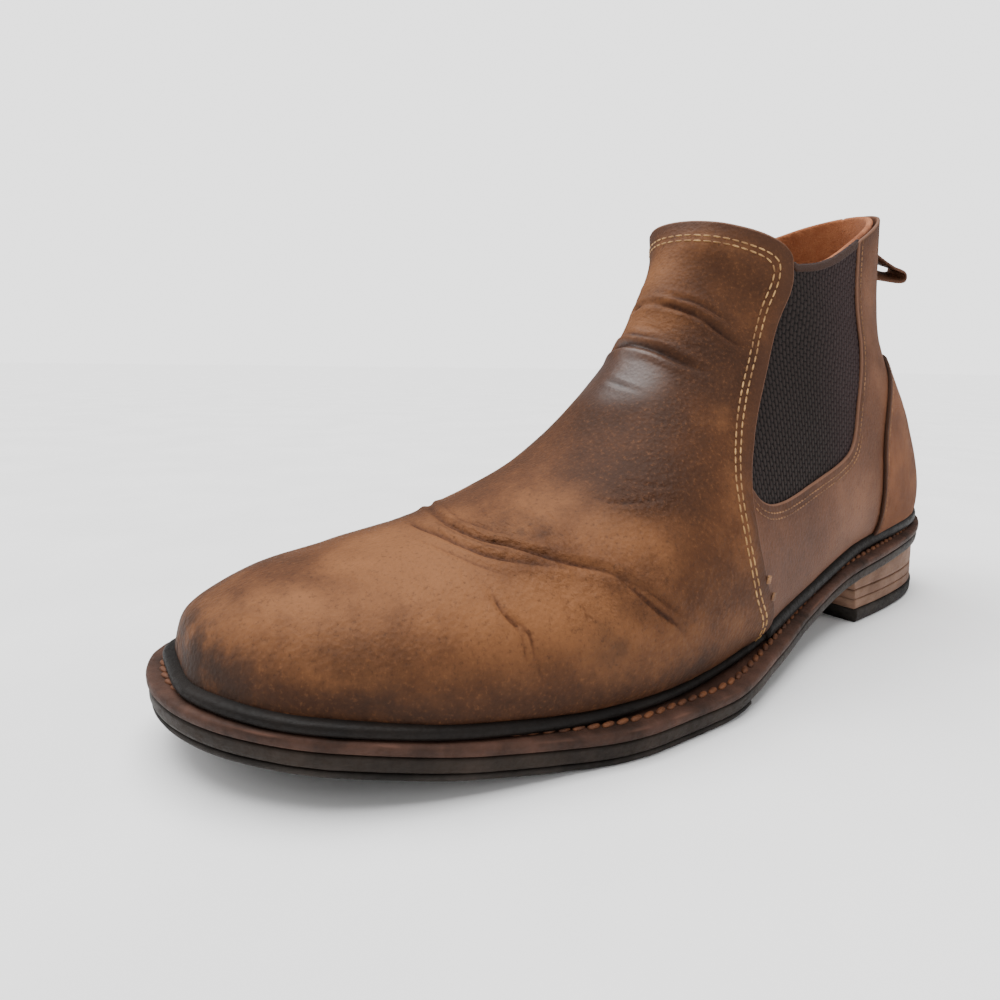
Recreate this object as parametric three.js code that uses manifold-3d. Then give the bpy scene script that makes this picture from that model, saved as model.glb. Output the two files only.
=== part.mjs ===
// A left chelsea boot, in millimetres: toe towards -Y, heel towards +Y, the outer
// (lateral) side towards +X, +Z up, standing on z = 0 with the box centred on x = y = 0.
import * as THREE from 'three';
import { mergeVertices } from 'three/addons/utils/BufferGeometryUtils.js';
import Module from 'manifold-3d';

const wasm = await Module();
wasm.setup();

// Overall sizes.
const LENGTH = 310;
const BALL_WIDTH = 112;
const BACK_HEIGHT = 156;

// The patterns below are drawn for these sizes and graded to the ones above.
const PATTERN = { length: 310, width: 112, height: 156, stack: 9 };

// Gap left between neighbouring pieces.
const GAP = 0.3;

// Sole.
const WELT_THICKNESS = 3;
const OUTSOLE_THICKNESS = 3.8;
const TREAD_THICKNESS = 1.6;
const TOE_SPRING = 11.5;
const HEEL_PITCH = 22.8;
const WELT_WIDTH = 13.5;
const RIB_WIDTH = 3;
const TREAD_END = -14;
const TREAD_INSET = 0.8;
const SOLE_INSET = 0.4;
const SHANK = { start: -22, end: 92, width: 14, thickness: 1.6 };

// Heel.
const BREAST = 70;
const BREAST_SLOPE = 0.22;
const HEEL_INSET = 2;
const LIFT_INSET = 0.3;
const TOP_PIECE_THICKNESS = 5.2;
const LIFT_THICKNESS = 3.5;
const LEVEL_LIFTS = 2;
const NAIL = { radius: 1.1, headRadius: 2.2, headHeight: 1, ringRadius: 19, centre: 112, count: 5 };

// Layers of the upper, outside to inside.
const LEATHER_THICKNESS = 1.9;
const MIDDLE_THICKNESS = 1.2;
const LINING_THICKNESS = 1.2;
const PATCH_THICKNESS = 1.2;
const RAND_WIDTH = 2.4;
const RAND_HEIGHT = 3.2;
const REAR_RAND_HEIGHT = 5.6;
const RAND_SPLIT = 4;
const BINDING = { width: 4.5, depth: 0.7 };
const GORE_MARGIN = 8;
const LINING_LAP = 1.8;

// Footbed.
const FOOTBED_CLEARANCE = 0.8;
const INSOLE_THICKNESS = 2.8;
const SOCK_THICKNESS = 1.2;
const CUSHION = { start: 72, thickness: 2, ramp: 14 };

// Pull loop, sewn to the back below the collar.
const LOOP = {
  width: 16, length: 18, height: 6.6, wall: 1.6,
  drop: 12, baseHeight: 14, baseThickness: 1.5, tilt: -12, middle: -8,
};

// Mesh density.
const RINGS_PER_SPAN = 2;
const RING_POINTS = 20;
const SOLE_STEPS = 20;
const FAR = 400;

const SOLE_STACK = WELT_THICKNESS + OUTSOLE_THICKNESS + TREAD_THICKNESS + 2 * GAP;
const MIDDLE_DEPTH = LEATHER_THICKNESS + GAP;
const LINING_DEPTH = MIDDLE_DEPTH + MIDDLE_THICKNESS + GAP;
const INSIDE_DEPTH = LINING_DEPTH + LINING_THICKNESS;

// Grading: pattern places to real places.
const gradeX = (x) => x * BALL_WIDTH / PATTERN.width;
const gradeY = (y) => y * LENGTH / PATTERN.length;
const gradeZ = (z) =>
  SOLE_STACK + (z - PATTERN.stack) * (BACK_HEIGHT - SOLE_STACK) / (PATTERN.height - PATTERN.stack);

// A smooth curve through [t, value] pairs that never swings past them.
function monotone(pairs) {
  const slopes = pairs.slice(1).map(([t, v], i) => (v - pairs[i][1]) / (t - pairs[i][0]));
  const tangents = pairs.map((pair, i) => {
    const before = slopes[Math.max(i - 1, 0)];
    const after = slopes[Math.min(i, slopes.length - 1)];
    return before * after <= 0 ? 0 : 2 * before * after / (before + after);
  });
  return (t) => {
    const clamped = Math.min(Math.max(t, pairs[0][0]), pairs[pairs.length - 1][0]);
    const next = pairs.findIndex(([at], i) => i > 0 && clamped <= at);
    const [t0, v0] = pairs[next - 1];
    const [t1, v1] = pairs[next];
    const span = t1 - t0;
    const f = (clamped - t0) / span;
    return v0 * (1 + 2 * f) * (1 - f) ** 2 + v1 * f * f * (3 - 2 * f)
      + span * (tangents[next - 1] * f * (1 - f) ** 2 - tangents[next] * f * f * (1 - f));
  };
}

// Rise of the sole above its lowest line: toe spring, flat ball, arch and heel seat.
const rise = monotone([
  [-155, 1], [-124, 0.7], [-93, 0.27], [-62, 0], [-31, 0],
].map(([y, share]) => [gradeY(y), share * TOE_SPRING]).concat([
  [-9, 0.08], [31, 0.31], [74, 0.67], [155, 1],
].map(([y, share]) => [gradeY(y), share * HEEL_PITCH])));

// Height of the welt's top face, where the upper stands.
const seat = (y) => SOLE_STACK + rise(y);

// Half outlines of the sole, as x against y.
const LATERAL_OUTLINE = [
  [-155, -6], [-151, 12], [-142.5, 25], [-127, 38], [-105, 47], [-77, 53.5], [-50, 58.5],
  [-25, 58.5], [6, 51.5], [34, 43.5], [62, 38.5], [90, 36.5], [118, 32.5], [139, 25],
  [150.5, 15], [155, -3],
];
const MEDIAL_OUTLINE = [
  [-155, -6], [-151, -23], [-142.5, -32], [-127, -41], [-105, -48.5], [-77, -53], [-50, -53.5],
  [-25, -50], [6, -42], [34, -36.5], [62, -36.5], [90, -38.5], [118, -37], [139, -30.5],
  [150.5, -21], [155, -3],
];

// Share of a turn from toe tip to heel back, which spaces places evenly round the ends.
const turnAt = (y) => Math.acos(-y / (LENGTH / 2)) / Math.PI;
const yAtTurn = (turn) => -Math.cos(turn * Math.PI) * LENGTH / 2;
const outlineCurve = (outline) =>
  monotone(outline.map(([y, x]) => [turnAt(gradeY(y)), gradeX(x)]));
const lateralAt = outlineCurve(LATERAL_OUTLINE);
const medialAt = outlineCurve(MEDIAL_OUTLINE);

// A point of the outline at a turn, moved in by an inset square to the edge.
function outlinePoint(curve, side, turn, inset) {
  const step = 0.002;
  const before = Math.max(turn - step, 0);
  const after = Math.min(turn + step, 1);
  const along = new THREE.Vector2(
    curve(after) - curve(before), yAtTurn(after) - yAtTurn(before)).normalize();
  return [curve(turn) - side * along.y * inset, yAtTurn(turn) + side * along.x * inset];
}

// ---- Solids ----

function geometryFrom(positions, faces) {
  const geometry = new THREE.BufferGeometry();
  geometry.setAttribute('position', new THREE.Float32BufferAttribute(positions.flat(), 3));
  geometry.setIndex(faces.flat());
  return geometry;
}

// A closed body through rings of points that all run the same way round.
function loft(rings) {
  const count = rings[0].length;
  const faces = [];
  for (let i = 0; i + 1 < rings.length; i += 1) {
    for (let j = 0; j < count; j += 1) {
      const a = i * count + j;
      const b = i * count + (j + 1) % count;
      faces.push([a, b, a + count], [b, b + count, a + count]);
    }
  }
  const last = (rings.length - 1) * count;
  const middleOf = (ring) =>
    [0, 1, 2].map((axis) => ring.reduce((sum, point) => sum + point[axis], 0) / count);
  const points = [...rings.flat(), middleOf(rings[0]), middleOf(rings[rings.length - 1])];
  for (let j = 0; j < count; j += 1) {
    const next = (j + 1) % count;
    faces.push([next, j, points.length - 2], [last + j, last + next, points.length - 1]);
  }
  return geometryFrom(points, faces);
}

function solidOf(geometry) {
  const bare = new THREE.BufferGeometry();
  bare.setAttribute('position', geometry.getAttribute('position'));
  bare.setIndex(geometry.index);
  const merged = mergeVertices(bare, 1e-4);
  return new wasm.Manifold(new wasm.Mesh({
    numProp: 3,
    vertProperties: new Float32Array(merged.getAttribute('position').array),
    triVerts: new Uint32Array(merged.index.array),
  }));
}

function geometryOf(solid) {
  const mesh = solid.getMesh();
  const geometry = new THREE.BufferGeometry();
  geometry.setAttribute('position', new THREE.BufferAttribute(mesh.vertProperties, 3));
  geometry.setIndex(new THREE.BufferAttribute(mesh.triVerts, 1));
  return geometry;
}

// A side-view outline of [y, z] points run along X.
function sidePrism(points, fromX = -FAR, toX = FAR) {
  const shape = new THREE.Shape(points.map(([y, z]) => new THREE.Vector2(y, z)));
  const geometry = new THREE.ExtrudeGeometry(shape, { depth: toX - fromX, bevelEnabled: false });
  const turn = new THREE.Matrix4().set(0, 0, 1, fromX, 1, 0, 0, 0, 0, 1, 0, 0, 0, 0, 0, 1);
  return solidOf(geometry.applyMatrix4(turn));
}

function cylinder(radius, bottom, top, x, y) {
  const geometry = new THREE.CylinderGeometry(radius, radius, top - bottom, 8);
  geometry.rotateX(Math.PI / 2);
  geometry.translate(x, y, (bottom + top) / 2);
  return solidOf(geometry);
}

// ---- Sole pieces: bodies between two heights along the whole or part of the outline ----

// Rings of four corners from turn to turn; heights are functions of y.
function soleBody({ inset, bottom, top, from = 0.004, to = 0.996, slope = () => 0 }) {
  const rings = [];
  for (let i = 0; i <= SOLE_STEPS; i += 1) {
    const turn = from + (to - from) * i / SOLE_STEPS;
    const lateral = outlinePoint(lateralAt, 1, turn, inset);
    const medial = outlinePoint(medialAt, -1, turn, inset);
    const share = 1 - i / SOLE_STEPS;
    const corner = ([x, y], height) => {
      const z = height(y);
      return [x, y + share * slope(z), z];
    };
    rings.push([corner(medial, top), corner(lateral, top), corner(lateral, bottom),
      corner(medial, bottom)]);
  }
  return solidOf(loft(rings));
}

// ---- Foot form: the outer surface of the upper ----

// Slices from toe to collar, hinged about the instep. Columns: ridge y and z (top or front
// end), foot y and z (bottom or back end), x of both ends, half widths to the outer and
// inner side, height share of the widest line, and roundness above and below it. ON_SEAT
// stands on the sole.
const ON_SEAT = null;
const STATIONS = [
  [-148, 28, -148, 24, -6, 1, 1, 0.5, 2, 2],
  [-143.5, 36, -147.5, ON_SEAT, -5, 17, 14, 0.36, 2.1, 3],
  [-128, 43, -133, ON_SEAT, -2, 33, 27, 0.34, 2.2, 3.4],
  [-106, 46, -110, ON_SEAT, 0, 42.5, 39.5, 0.34, 2.2, 3.5],
  [-75.5, 52, -79.5, ON_SEAT, 0, 49.5, 46, 0.34, 2.1, 3.4],
  [-44, 66, -45, ON_SEAT, 0, 54, 46.5, 0.32, 1.95, 3.4],
  [-23, 86, -5, ON_SEAT, 0, 51, 42.5, 0.3, 1.8, 3.4],
  [-10, 103, 37, ON_SEAT, -1, 43.5, 37.5, 0.28, 1.75, 3.4],
  [-2, 117, 86, ON_SEAT, -1.5, 37.5, 36, 0.31, 1.85, 3.2],
  [4, 127, 142, ON_SEAT, -2.5, 34, 36, 0.4, 2, 3],
  [8, 135, 148, 57, -3.5, 31, 33.5, 0.52, 2.1, 2.5],
  [12, 144, 128, 100, -7.5, 30.5, 31.5, 0.54, 2.1, 2.1],
  [14, 153, 120, 156, -8.5, 31.5, 31, 0.54, 2.1, 2],
  [17, 172, 118, 180, -8.5, 31.5, 31, 0.54, 2.1, 2],
];
const TUCK = 6;

const gradedStations = STATIONS.map((
  [ridgeY, ridgeZ, footY, footZ, middle, outer, inner, ...roundness]) => [
  gradeY(ridgeY), gradeZ(ridgeZ), gradeY(footY),
  footZ === ON_SEAT ? seat(gradeY(footY)) - TUCK : gradeZ(footZ),
  gradeX(middle), gradeX(outer), gradeX(inner), ...roundness]);

// Values between stations, on a smooth curve through them.
function stationAt(at) {
  const index = Math.min(Math.floor(at), gradedStations.length - 2);
  const f = at - index;
  const here = gradedStations[index];
  const next = gradedStations[index + 1];
  const before = gradedStations[index - 1] ?? here.map((v, k) => 2 * v - next[k]);
  const after = gradedStations[index + 2] ?? next.map((v, k) => 2 * v - here[k]);
  return here.map((v, k) => 0.5 * (2 * v + (next[k] - before[k]) * f
    + (2 * before[k] - 5 * v + 4 * next[k] - after[k]) * f * f
    + (3 * v - before[k] - 3 * next[k] + after[k]) * f ** 3));
}

function formRing(at) {
  const [ridgeY, ridgeZ, footY, footZ, middle, outer, inner, belly, crown, tuck] = stationAt(at);
  const ring = [];
  for (let j = 0; j < RING_POINTS; j += 1) {
    const angle = 2 * Math.PI * j / RING_POINTS;
    const cos = Math.cos(angle);
    const sin = Math.sin(angle);
    const power = 2 / (cos >= 0 ? crown : tuck);
    const rising = Math.abs(cos) ** power;
    const share = cos >= 0 ? belly + (1 - belly) * rising : belly * (1 - rising);
    const width = (sin >= 0 ? outer : -inner) * Math.abs(sin) ** power;
    ring.push([middle + width, footY + (ridgeY - footY) * share, footZ + (ridgeZ - footZ) * share]);
  }
  return ring;
}

const formRings = [];
for (let at = 0; at <= gradedStations.length - 1; at += 1 / RINGS_PER_SPAN) {
  formRings.push(formRing(at));
}
const formGeometry = loft(formRings);
formGeometry.computeVertexNormals();

// The foot form swollen (positive) or shrunk (negative) square to its surface.
function form(offset) {
  const place = formGeometry.getAttribute('position');
  const normal = formGeometry.getAttribute('normal');
  const moved = [];
  for (let i = 0; i < place.count; i += 1) {
    moved.push([
      place.getX(i) + offset * normal.getX(i),
      place.getY(i) + offset * normal.getY(i),
      place.getZ(i) + offset * normal.getZ(i)]);
  }
  const geometry = geometryFrom(moved, []);
  geometry.setIndex(formGeometry.index);
  return solidOf(geometry);
}

// ---- Side-view patterns ----

const LOW = -50;

const graded = (points) => points.map(([y, z]) => [gradeY(y), gradeZ(z)]);
const shifted = (points, dy, dz = 0) => points.map(([y, z]) => [y + dy, z + dz]);

// Rear edge of the vamp, up from the sole to the corner of its front flap.
const vampEdge = graded([
  [6, 2], [4, 22], [-2, 33], [-4, 44], [-1, 57], [8, 71], [27, 99], [43, 127]]);
const flapTop = graded([
  [43, 127], [42.6, 130.5], [40, 133.2], [34, 135.6], [24, 138.3], [12, 140.6], [-10, 143]]);
// Top of the elastic gore and of the quarters, rising to the back of the collar.
const rearTop = graded([
  [43, 127], [53, 128], [62, 130.5], [70, 134], [78, 138], [90, 143.5], [105, 150], [120, 155.5],
  [150, 164]]);
const goreBottom = graded([[0, 60], [4, 54.5], [12, 52.2], [24, 53], [41, 56.7], [58, 61], [66, 65]]);
const goreRear = graded([[70, 71], [72.5, 79], [76, 92], [78.5, 108], [78.5, 126], [78, 138]]);
const patchOutline = graded([
  [91, 10], [90, 40], [91, 62], [94.5, 77], [101, 89], [113, 98], [210, 104], [210, LOW]]);
const puffOutline = graded([[-210, LOW], [-96, LOW], [-108, 70], [-210, 70]]);
const counterOutline = graded([
  [40, LOW], [40, 30], [62, 40], [90, 58], [210, 66], [210, LOW]]);
const gripOutline = graded([[88, LOW], [88, 40], [97, 66], [104, 78], [210, 84], [210, LOW]]);

const HIGH = gradeZ(230);
const UPPER_BACK = gradeY(210);
const UPPER_FRONT = -UPPER_BACK;

// Everything above the edge of the collar.
const aboveCollar = sidePrism([
  [UPPER_FRONT, HIGH], [UPPER_FRONT, flapTop[flapTop.length - 1][1]], ...[...flapTop].reverse(),
  ...rearTop.slice(1), [UPPER_BACK, HIGH]]);

// Everything in front of the vamp's rear edge, moved back by dy.
const vampCorner = vampEdge[vampEdge.length - 1][0];
const vampSide = (dy) => sidePrism([
  [UPPER_FRONT, LOW], ...shifted(vampEdge, dy), [vampCorner + dy, HIGH], [UPPER_FRONT, HIGH]]);

// The window that the elastic gore closes, grown by a margin on its three sewn sides.
function goreWindow(margin) {
  const front = shifted(vampEdge.filter(([, z]) => z > gradeZ(60)), GAP - margin);
  const bottom = shifted(goreBottom, 0, -margin);
  const rear = shifted(goreRear, margin);
  return sidePrism([
    [front[front.length - 1][0], HIGH], ...[...front].reverse(),
    ...shifted(bottom.slice(1, 4), -margin / 2), ...bottom.slice(4), ...rear,
    [rear[rear.length - 1][0], HIGH]]);
}

// A slab of the upper's inside between two heights above the seat.
function slab(bottom, top, fromY = UPPER_FRONT, toY = UPPER_BACK) {
  const places = [fromY];
  for (let i = 0; i <= SOLE_STEPS; i += 1) {
    const y = yAtTurn(i / SOLE_STEPS);
    if (y > fromY + 1 && y < toY - 1) {
      places.push(y);
    }
  }
  places.push(toY);
  const lower = places.map((y) => [y, bottom(y)]);
  const upper = places.map((y) => [y, top(y)]).reverse();
  return sidePrism([...lower, ...upper]);
}

const onSeat = (height) => (y) => seat(y) + height;
const belowSeat = slab(() => LOW, onSeat(GAP));

// A skin of the upper between two depths under its outer surface, open above and below.
function skin(depth, thickness) {
  return form(-depth).subtract(form(-depth - thickness)).subtract(aboveCollar)
    .subtract(belowSeat);
}

const wholeSide = [[UPPER_FRONT, LOW], [UPPER_BACK, LOW], [UPPER_BACK, HIGH], [UPPER_FRONT, HIGH]];

// The two sides of the boot, parted at the back seam, which leans with the shaft.
const BACK_SEAM = [[-3, 20], [-3, 50], [-7.5, 100], [-8.5, 180]];
function sideOf(toX, gap) {
  const seam = BACK_SEAM.map(([x, z]) => new THREE.Vector2(gradeX(x) + gap, gradeZ(z)));
  const shape = new THREE.Shape([
    new THREE.Vector2(toX, LOW), new THREE.Vector2(gradeX(BACK_SEAM[0][0]) + gap, LOW), ...seam,
    new THREE.Vector2(gradeX(BACK_SEAM[3][0]) + gap, HIGH), new THREE.Vector2(toX, HIGH)]);
  const geometry = new THREE.ExtrudeGeometry(shape, { depth: 2 * FAR, bevelEnabled: false });
  geometry.rotateX(Math.PI / 2);
  geometry.translate(0, FAR, 0);
  return solidOf(geometry);
}
const halves = { lateral: sideOf(FAR, GAP / 2), medial: sideOf(-FAR, -GAP / 2) };

// ---- Pieces ----

const boot = new THREE.Group();

// Cuts through curved skins leave slivers without volume; only the real body is kept.
function mainBody(solid) {
  return solid.decompose().reduce((best, body) => (body.volume() > best.volume() ? body : best));
}

function addPiece(name, solid, [colour, roughness, metalness = 0]) {
  const material = new THREE.MeshStandardMaterial({ color: colour, roughness, metalness });
  const mesh = new THREE.Mesh(geometryOf(mainBody(solid)), material);
  mesh.name = name;
  boot.add(mesh);
  return mesh;
}

const FINISH = {
  vampLeather: ['#7c5134', 0.75],
  quarterLeather: ['#6f4830', 0.6],
  patchSuede: ['#8d5230', 0.85],
  elastic: ['#2b2224', 0.8],
  binding: ['#3a2a2c', 0.7],
  lining: ['#a4562b', 0.85],
  fabric: ['#b9a98c', 0.9],
  stiffener: ['#c9bda0', 0.7],
  rand: ['#1d1714', 0.45],
  welt: ['#6b3b26', 0.6],
  outsole: ['#33241d', 0.65],
  rubber: ['#1c1a19', 0.8],
  stackedLeather: ['#7a5136', 0.7],
  board: ['#b98f63', 0.8],
  cork: ['#a57a4c', 0.95],
  steel: ['#a9abad', 0.4, 0.9],
  brass: ['#b08d4a', 0.4, 0.9],
  foam: ['#4b4744', 0.9],
};

function addLeathers() {
  const leather = skin(0, LEATHER_THICKNESS);
  addPiece('vamp', leather.intersect(vampSide(0)), FINISH.vampLeather);
  const quarters = leather.subtract(vampSide(GAP)).subtract(goreWindow(0));
  for (const [side, half] of Object.entries(halves)) {
    addPiece(`quarter_${side}`, quarters.intersect(half), FINISH.quarterLeather);
  }
  const aboveRand = slab(onSeat(2 * GAP + REAR_RAND_HEIGHT), () => HIGH);
  addPiece('counter_patch', form(GAP + PATCH_THICKNESS).subtract(form(GAP))
    .intersect(sidePrism(patchOutline)).intersect(aboveRand), FINISH.patchSuede);
}

function addGores(middle) {
  const gores = middle.intersect(goreWindow(GORE_MARGIN));
  const edge = rearTop.filter(([y]) => y < gradeY(90));
  const band = sidePrism([...edge, ...shifted(edge, 0, -BINDING.width).reverse()]);
  const bindings = skin(BINDING.depth, LEATHER_THICKNESS - BINDING.depth)
    .intersect(goreWindow(-GAP)).intersect(band);
  for (const [side, half] of Object.entries(halves)) {
    addPiece(`gore_${side}`, gores.intersect(half), FINISH.elastic);
    addPiece(`gore_binding_${side}`, bindings.intersect(half), FINISH.binding);
  }
}

// Stiffener of the toe, backing cloth of the vamp and stiffener of the heel.
function addStiffeners(middle) {
  addPiece('toe_puff', middle.intersect(sidePrism(puffOutline)), FINISH.stiffener);
  const [, puffFoot, puffTop] = shifted(puffOutline, GAP);
  const cloth = sidePrism([
    puffFoot, ...shifted(vampEdge, -GORE_MARGIN - GAP),
    [vampCorner - GORE_MARGIN - GAP, HIGH], [puffTop[0], HIGH], puffTop]);
  addPiece('vamp_interlining', middle.intersect(cloth), FINISH.fabric);
  addPiece('heel_counter', middle.intersect(sidePrism(counterOutline)), FINISH.stiffener);
}

function addLinings() {
  const lining = skin(LINING_DEPTH, LINING_THICKNESS);
  const seam = -GORE_MARGIN / 2;
  addPiece('vamp_lining', lining.intersect(vampSide(seam)), FINISH.lining);
  addPiece('heel_grip', lining.intersect(sidePrism(gripOutline)), FINISH.lining);
  const rest = lining.subtract(vampSide(seam + GAP)).subtract(goreWindow(-LINING_LAP))
    .subtract(sidePrism(shifted(gripOutline, -GAP, GAP)));
  for (const [side, half] of Object.entries(halves)) {
    addPiece(`quarter_lining_${side}`, rest.intersect(half), FINISH.lining);
  }
}

function addRands() {
  const wall = form(GAP + RAND_WIDTH).subtract(form(GAP));
  const split = gradeY(RAND_SPLIT);
  addPiece('rand_front',
    wall.intersect(slab(onSeat(GAP), onSeat(GAP + RAND_HEIGHT), UPPER_FRONT, split)),
    FINISH.rand);
  addPiece('rand_rear',
    wall.intersect(slab(onSeat(GAP), onSeat(GAP + REAR_RAND_HEIGHT), split + GAP)),
    FINISH.rand);
}

function addFootbed() {
  const inside = form(-INSIDE_DEPTH - FOOTBED_CLEARANCE);
  const boardTop = GAP + INSOLE_THICKNESS;
  addPiece('insole_board', inside.intersect(slab(onSeat(GAP), onSeat(boardTop))), FINISH.board);
  const start = gradeY(CUSHION.start);
  const cushionBottom = boardTop + GAP;
  addPiece('heel_cushion', inside.intersect(
    slab(onSeat(cushionBottom), onSeat(cushionBottom + CUSHION.thickness), start)), FINISH.foam);
  const lift = (y) => {
    const share = (y - start + 2 * CUSHION.ramp) / CUSHION.ramp;
    return Math.min(Math.max(share, 0), 1) * (CUSHION.thickness + GAP);
  };
  const sockBottom = (y) => seat(y) + cushionBottom + lift(y);
  const sock = inside.intersect(slab(sockBottom, (y) => sockBottom(y) + SOCK_THICKNESS));
  addPiece('sock_liner', sock, FINISH.lining);
}

function addSole() {
  const weltBottom = onSeat(-WELT_THICKNESS);
  const outsoleTop = onSeat(-WELT_THICKNESS - GAP);
  const outsoleBottom = onSeat(-WELT_THICKNESS - GAP - OUTSOLE_THICKNESS);
  const ribInset = WELT_WIDTH + GAP;
  const hole = (inset) => soleBody({ inset, bottom: () => LOW, top: () => HIGH });
  const layer = (inset) => soleBody({ inset, bottom: weltBottom, top: seat });
  addPiece('welt', layer(0).subtract(hole(WELT_WIDTH)), FINISH.welt);
  addPiece('insole_rib', layer(ribInset).subtract(hole(ribInset + RIB_WIDTH)), FINISH.fabric);
  const shankSlab = (grow) => slab(
    onSeat(-SHANK.thickness - grow), onSeat(grow), gradeY(SHANK.start) - grow,
    gradeY(SHANK.end) + grow).intersect(
    sidePrism(wholeSide, -SHANK.width / 2 - grow, SHANK.width / 2 + grow));
  addPiece('bottom_filler', layer(ribInset + RIB_WIDTH + GAP).subtract(shankSlab(GAP)),
    FINISH.cork);
  addPiece('shank', shankSlab(0), FINISH.steel);
  addPiece('outsole', soleBody({ inset: SOLE_INSET, bottom: outsoleBottom, top: outsoleTop }),
    FINISH.outsole);
  addPiece('forepart_tread', soleBody({
    inset: SOLE_INSET + TREAD_INSET, bottom: rise, top: (y) => rise(y) + TREAD_THICKNESS,
    to: turnAt(gradeY(TREAD_END)) }), FINISH.rubber);
}

function addHeel() {
  const breast = gradeY(BREAST);
  const seatBottom = onSeat(-WELT_THICKNESS - 2 * GAP - OUTSOLE_THICKNESS);
  const slope = (z) => (seatBottom(breast) - z) * BREAST_SLOPE;
  const liftBottom = (level) => TOP_PIECE_THICKNESS + GAP + level * (LIFT_THICKNESS + GAP);
  const heelBody = (inset, bottom, top) =>
    soleBody({ inset: HEEL_INSET + inset, bottom, top, slope, from: turnAt(breast) });
  const nails = [];
  for (let i = 0; i < NAIL.count; i += 1) {
    const angle = Math.PI * i / (NAIL.count - 1);
    nails.push([NAIL.ringRadius * Math.cos(angle),
      gradeY(NAIL.centre) + NAIL.ringRadius * Math.sin(angle)]);
  }
  const nailTop = liftBottom(LEVEL_LIFTS) + LIFT_THICKNESS / 2;
  const nailBody = ([x, y], grow) => {
    const bottom = liftBottom(0);
    return cylinder(NAIL.radius + grow, bottom, nailTop + grow, x, y)
      .add(cylinder(NAIL.headRadius + grow, bottom - grow, bottom + NAIL.headHeight + grow, x, y));
  };
  const drilled = (solid) => nails.reduce((body, at) => body.subtract(nailBody(at, GAP)), solid);
  addPiece('heel_lift_1',
    drilled(heelBody(0, () => liftBottom(LEVEL_LIFTS), seatBottom)), FINISH.stackedLeather);
  for (let level = LEVEL_LIFTS - 1; level >= 0; level -= 1) {
    const number = LEVEL_LIFTS - level + 1;
    const bottom = liftBottom(level);
    addPiece(`heel_lift_${number}`,
      drilled(heelBody((number - 1) * LIFT_INSET, () => bottom, () => bottom + LIFT_THICKNESS)),
      FINISH.stackedLeather);
  }
  addPiece('heel_top_piece',
    heelBody(LEVEL_LIFTS * LIFT_INSET, () => 0, () => TOP_PIECE_THICKNESS), FINISH.rubber);
  nails.forEach((at, i) => addPiece(`heel_nail_${i + 1}`, nailBody(at, 0), FINISH.brass));
}

// The loop's two ends, sewn flat on the back, and the free loop on its fold.
function addPullLoop() {
  const centreZ = BACK_HEIGHT - LOOP.drop;
  const half = LOOP.width / 2;
  const middle = gradeX(LOOP.middle);
  const nearBack = sidePrism([
    [gradeY(90), centreZ - LOOP.baseHeight / 2], [UPPER_BACK, centreZ - LOOP.baseHeight / 2],
    [UPPER_BACK, centreZ + LOOP.baseHeight / 2], [gradeY(90), centreZ + LOOP.baseHeight / 2],
  ], middle - half, middle + half);
  addPiece('pull_loop_base',
    form(GAP + LOOP.baseThickness).subtract(form(GAP)).intersect(nearBack), FINISH.quarterLeather);

  const backPoints = formRings.slice(-3 * RINGS_PER_SPAN).map((ring) => ring[RING_POINTS / 2]);
  const backLine = monotone(backPoints.map(([, y, z]) => [z, y]));
  // Half of the loop's side view from its neck to its tip, the height growing to a bulb.
  const bulb = (height, start, length) => new THREE.SplineCurve([
    [start, height * 0.5], [start + 0.35 * length, height * 0.7], [start + 0.7 * length, height],
    [start + 0.9 * length, height * 0.75], [start + length, 0],
  ].map(([y, z]) => new THREE.Vector2(y, z / 2))).getPoints(8);
  const mirrored = (points) => [...points, ...points.slice(0, -1).reverse()
    .map(({ x, y }) => new THREE.Vector2(x, -y))];
  const neck = LOOP.height / 4;
  const fold = [3, 2, 1].map((step) => new THREE.Vector2(
    -neck * Math.sin(step * Math.PI / 4), -neck * Math.cos(step * Math.PI / 4)));
  const outline = [...mirrored(bulb(LOOP.height, 0, LOOP.length)), ...fold.reverse()];
  const shape = new THREE.Shape(outline.reverse());
  const eyeStart = 0.35 * LOOP.length;
  shape.holes.push(new THREE.Path(mirrored(
    bulb(LOOP.height - 2 * LOOP.wall, eyeStart, LOOP.length - eyeStart - LOOP.wall))));
  const geometry = new THREE.ExtrudeGeometry(shape, { depth: LOOP.width, bevelEnabled: false });
  geometry.applyMatrix4(new THREE.Matrix4().set(
    0, 0, 1, -half, 1, 0, 0, 0, 0, 1, 0, 0, 0, 0, 0, 1));
  const loop = addPiece('pull_loop', solidOf(geometry), FINISH.quarterLeather);
  loop.rotation.x = THREE.MathUtils.degToRad(LOOP.tilt);
  loop.position.set(
    middle, backLine(centreZ) + 2 * GAP + LOOP.baseThickness + neck, centreZ);
}

function addBoot() {
  const middle = skin(MIDDLE_DEPTH, MIDDLE_THICKNESS);
  addLeathers();
  addGores(middle);
  addStiffeners(middle);
  addLinings();
  addRands();
  addFootbed();
  addSole();
  addHeel();
  addPullLoop();
}

addBoot();
const box = new THREE.Box3().setFromObject(boot);
boot.position.x = -(box.min.x + box.max.x) / 2;
boot.position.y = -(box.min.y + box.max.y) / 2;

export default boot;
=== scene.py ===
import logging
import math
from dataclasses import dataclass, field
from enum import Enum
from typing import Callable, Sequence

import bpy
import numpy as np
from mathutils import Matrix, Vector, noise


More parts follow.
